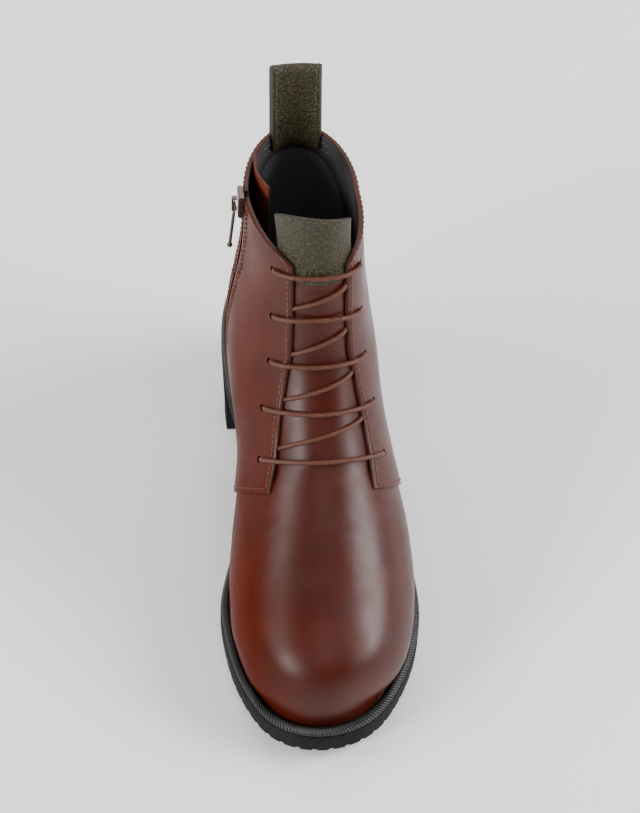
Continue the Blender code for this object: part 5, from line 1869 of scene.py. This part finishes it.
# Lamps: name, place, target, size, energy, colour
LAMPS = (
    ("left_high", (-1.75, 0.00, 1.15), (0.0, 0.0, 0.05), 0.95, 27.0, (1.0, 0.99, 0.98)),
    ("right_high", (1.60, 0.05, 1.20), (0.0, 0.0, 0.05), 1.00, 46.0, (0.99, 0.99, 1.0)),
    ("left_front", (-1.55, -0.95, 0.80), (0.0, 0.0, 0.05), 0.50, 30.0, (1.0, 0.99, 0.98)),
    ("right_front", (1.70, -0.60, 0.80), (0.0, 0.0, 0.05), 0.55, 17.0, (1.0, 1.0, 1.0)),
    ("back_top", (0.0, 1.35, 1.75), (0.0, 0.0, 0.05), 1.40, 30.0, (1.0, 1.0, 1.0)),
    ("front_top", (0.1, -0.95, 1.95), (0.0, 0.0, 0.05), 1.20, 7.0, (1.0, 1.0, 1.0)),
)
WORLD_COLOR = (0.80, 0.81, 0.83)
WORLD_STRENGTH = 0.11


def build_lights():
    for name, at, target, size, energy, color in LAMPS:
        data = bpy.data.lights.new(name, "AREA")
        data.size = size
        data.energy = energy
        data.color = color
        lamp = bpy.data.objects.new(name, data)
        bpy.context.scene.collection.objects.link(lamp)
        lamp.location = at
        aim(lamp, target)
    world_ = bpy.data.worlds.new("studio")
    world_.use_nodes = True
    background = world_.node_tree.nodes["Background"]
    background.inputs["Color"].default_value = (*WORLD_COLOR, 1.0)
    background.inputs["Strength"].default_value = WORLD_STRENGTH
    bpy.context.scene.world = world_


# The photograph's camera: direction to it, tilt, distance, and its aim beside the boot, in metres
CAMERA_HEIGHT_ANGLE = 53.34
CAMERA_SIDE_ANGLE = -3.04
CAMERA_ROLL = -0.32
CAMERA_DISTANCE = 1.5
CAMERA_SHIFT_RIGHT = -0.04717
CAMERA_SHIFT_UP = 0.04881
AIM_RIGHT = 0.0523
AIM_UP = 0.0148
SENSOR_HEIGHT = 24.0
FOCAL_LENGTH = 89.5
CLIP_END = 20.0


def build_camera():
    """The photograph's viewpoint, turned to the middle of this one boot."""
    high = math.radians(CAMERA_HEIGHT_ANGLE)
    aside = math.radians(CAMERA_SIDE_ANGLE)
    tilt = math.radians(CAMERA_ROLL)
    back = Vector((math.sin(aside) * math.cos(high), -math.cos(aside) * math.cos(high), math.sin(high)))
    level = Vector((math.cos(aside), math.sin(aside), 0.0))
    upright = back.cross(level)
    right = level * math.cos(tilt) + upright * math.sin(tilt)
    above = upright * math.cos(tilt) - level * math.sin(tilt)
    data = bpy.data.cameras.new("camera")
    data.sensor_fit = "VERTICAL"
    data.sensor_height = SENSOR_HEIGHT
    data.lens = FOCAL_LENGTH
    data.clip_end = CLIP_END
    camera = bpy.data.objects.new("camera", data)
    bpy.context.scene.collection.objects.link(camera)
    middle = back * CAMERA_DISTANCE + right * CAMERA_SHIFT_RIGHT + above * CAMERA_SHIFT_UP
    camera.location = middle + Vector((X_SHIFT, 0.0, 0.0))
    target = camera.location - back * CAMERA_DISTANCE + right * AIM_RIGHT + above * AIM_UP
    aim(camera, target, above)
    bpy.context.scene.camera = camera


# The whole scene
def main():
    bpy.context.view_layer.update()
    looks = build_materials()
    brown = [looks["box_leather"], looks["cut_edge"]]
    olive = [looks["pebbled_leather"], looks["olive_edge"]]
    lining = looks["black_lining"]
    cloth = looks["black_cloth"]
    metal = looks["painted_metal"]
    build_vamp(brown)
    build_quarters(brown)
    build_lining([lining, lining])
    build_heel_pad([cloth, lining])
    build_tongue_top(olive)
    build_loop(olive)
    build_stitches(looks["tan_thread"], looks["brown_thread"])
    build_olive_stitches(looks["olive_thread"])
    build_lining_stitches(looks["black_thread"])
    build_zip(looks["zip_cloth"], metal)
    build_guard([looks["guard_leather"], looks["cut_edge"]])
    build_laces(looks["waxed_cord"])
    build_outsole(looks["black_rubber"])
    build_heel(looks["black_rubber"])
    build_welt(looks["welt_rubber"])
    for name in ("insole", "zip_slider", "zip_bridge", "zip_pull"):
        carried = frame["nodes"][name]
        carried.data.materials.clear()
        carried.data.materials.append(cloth if name == "insole" else metal)
    build_stage(looks["pale_paper"])
    build_lights()
    build_camera()


main()
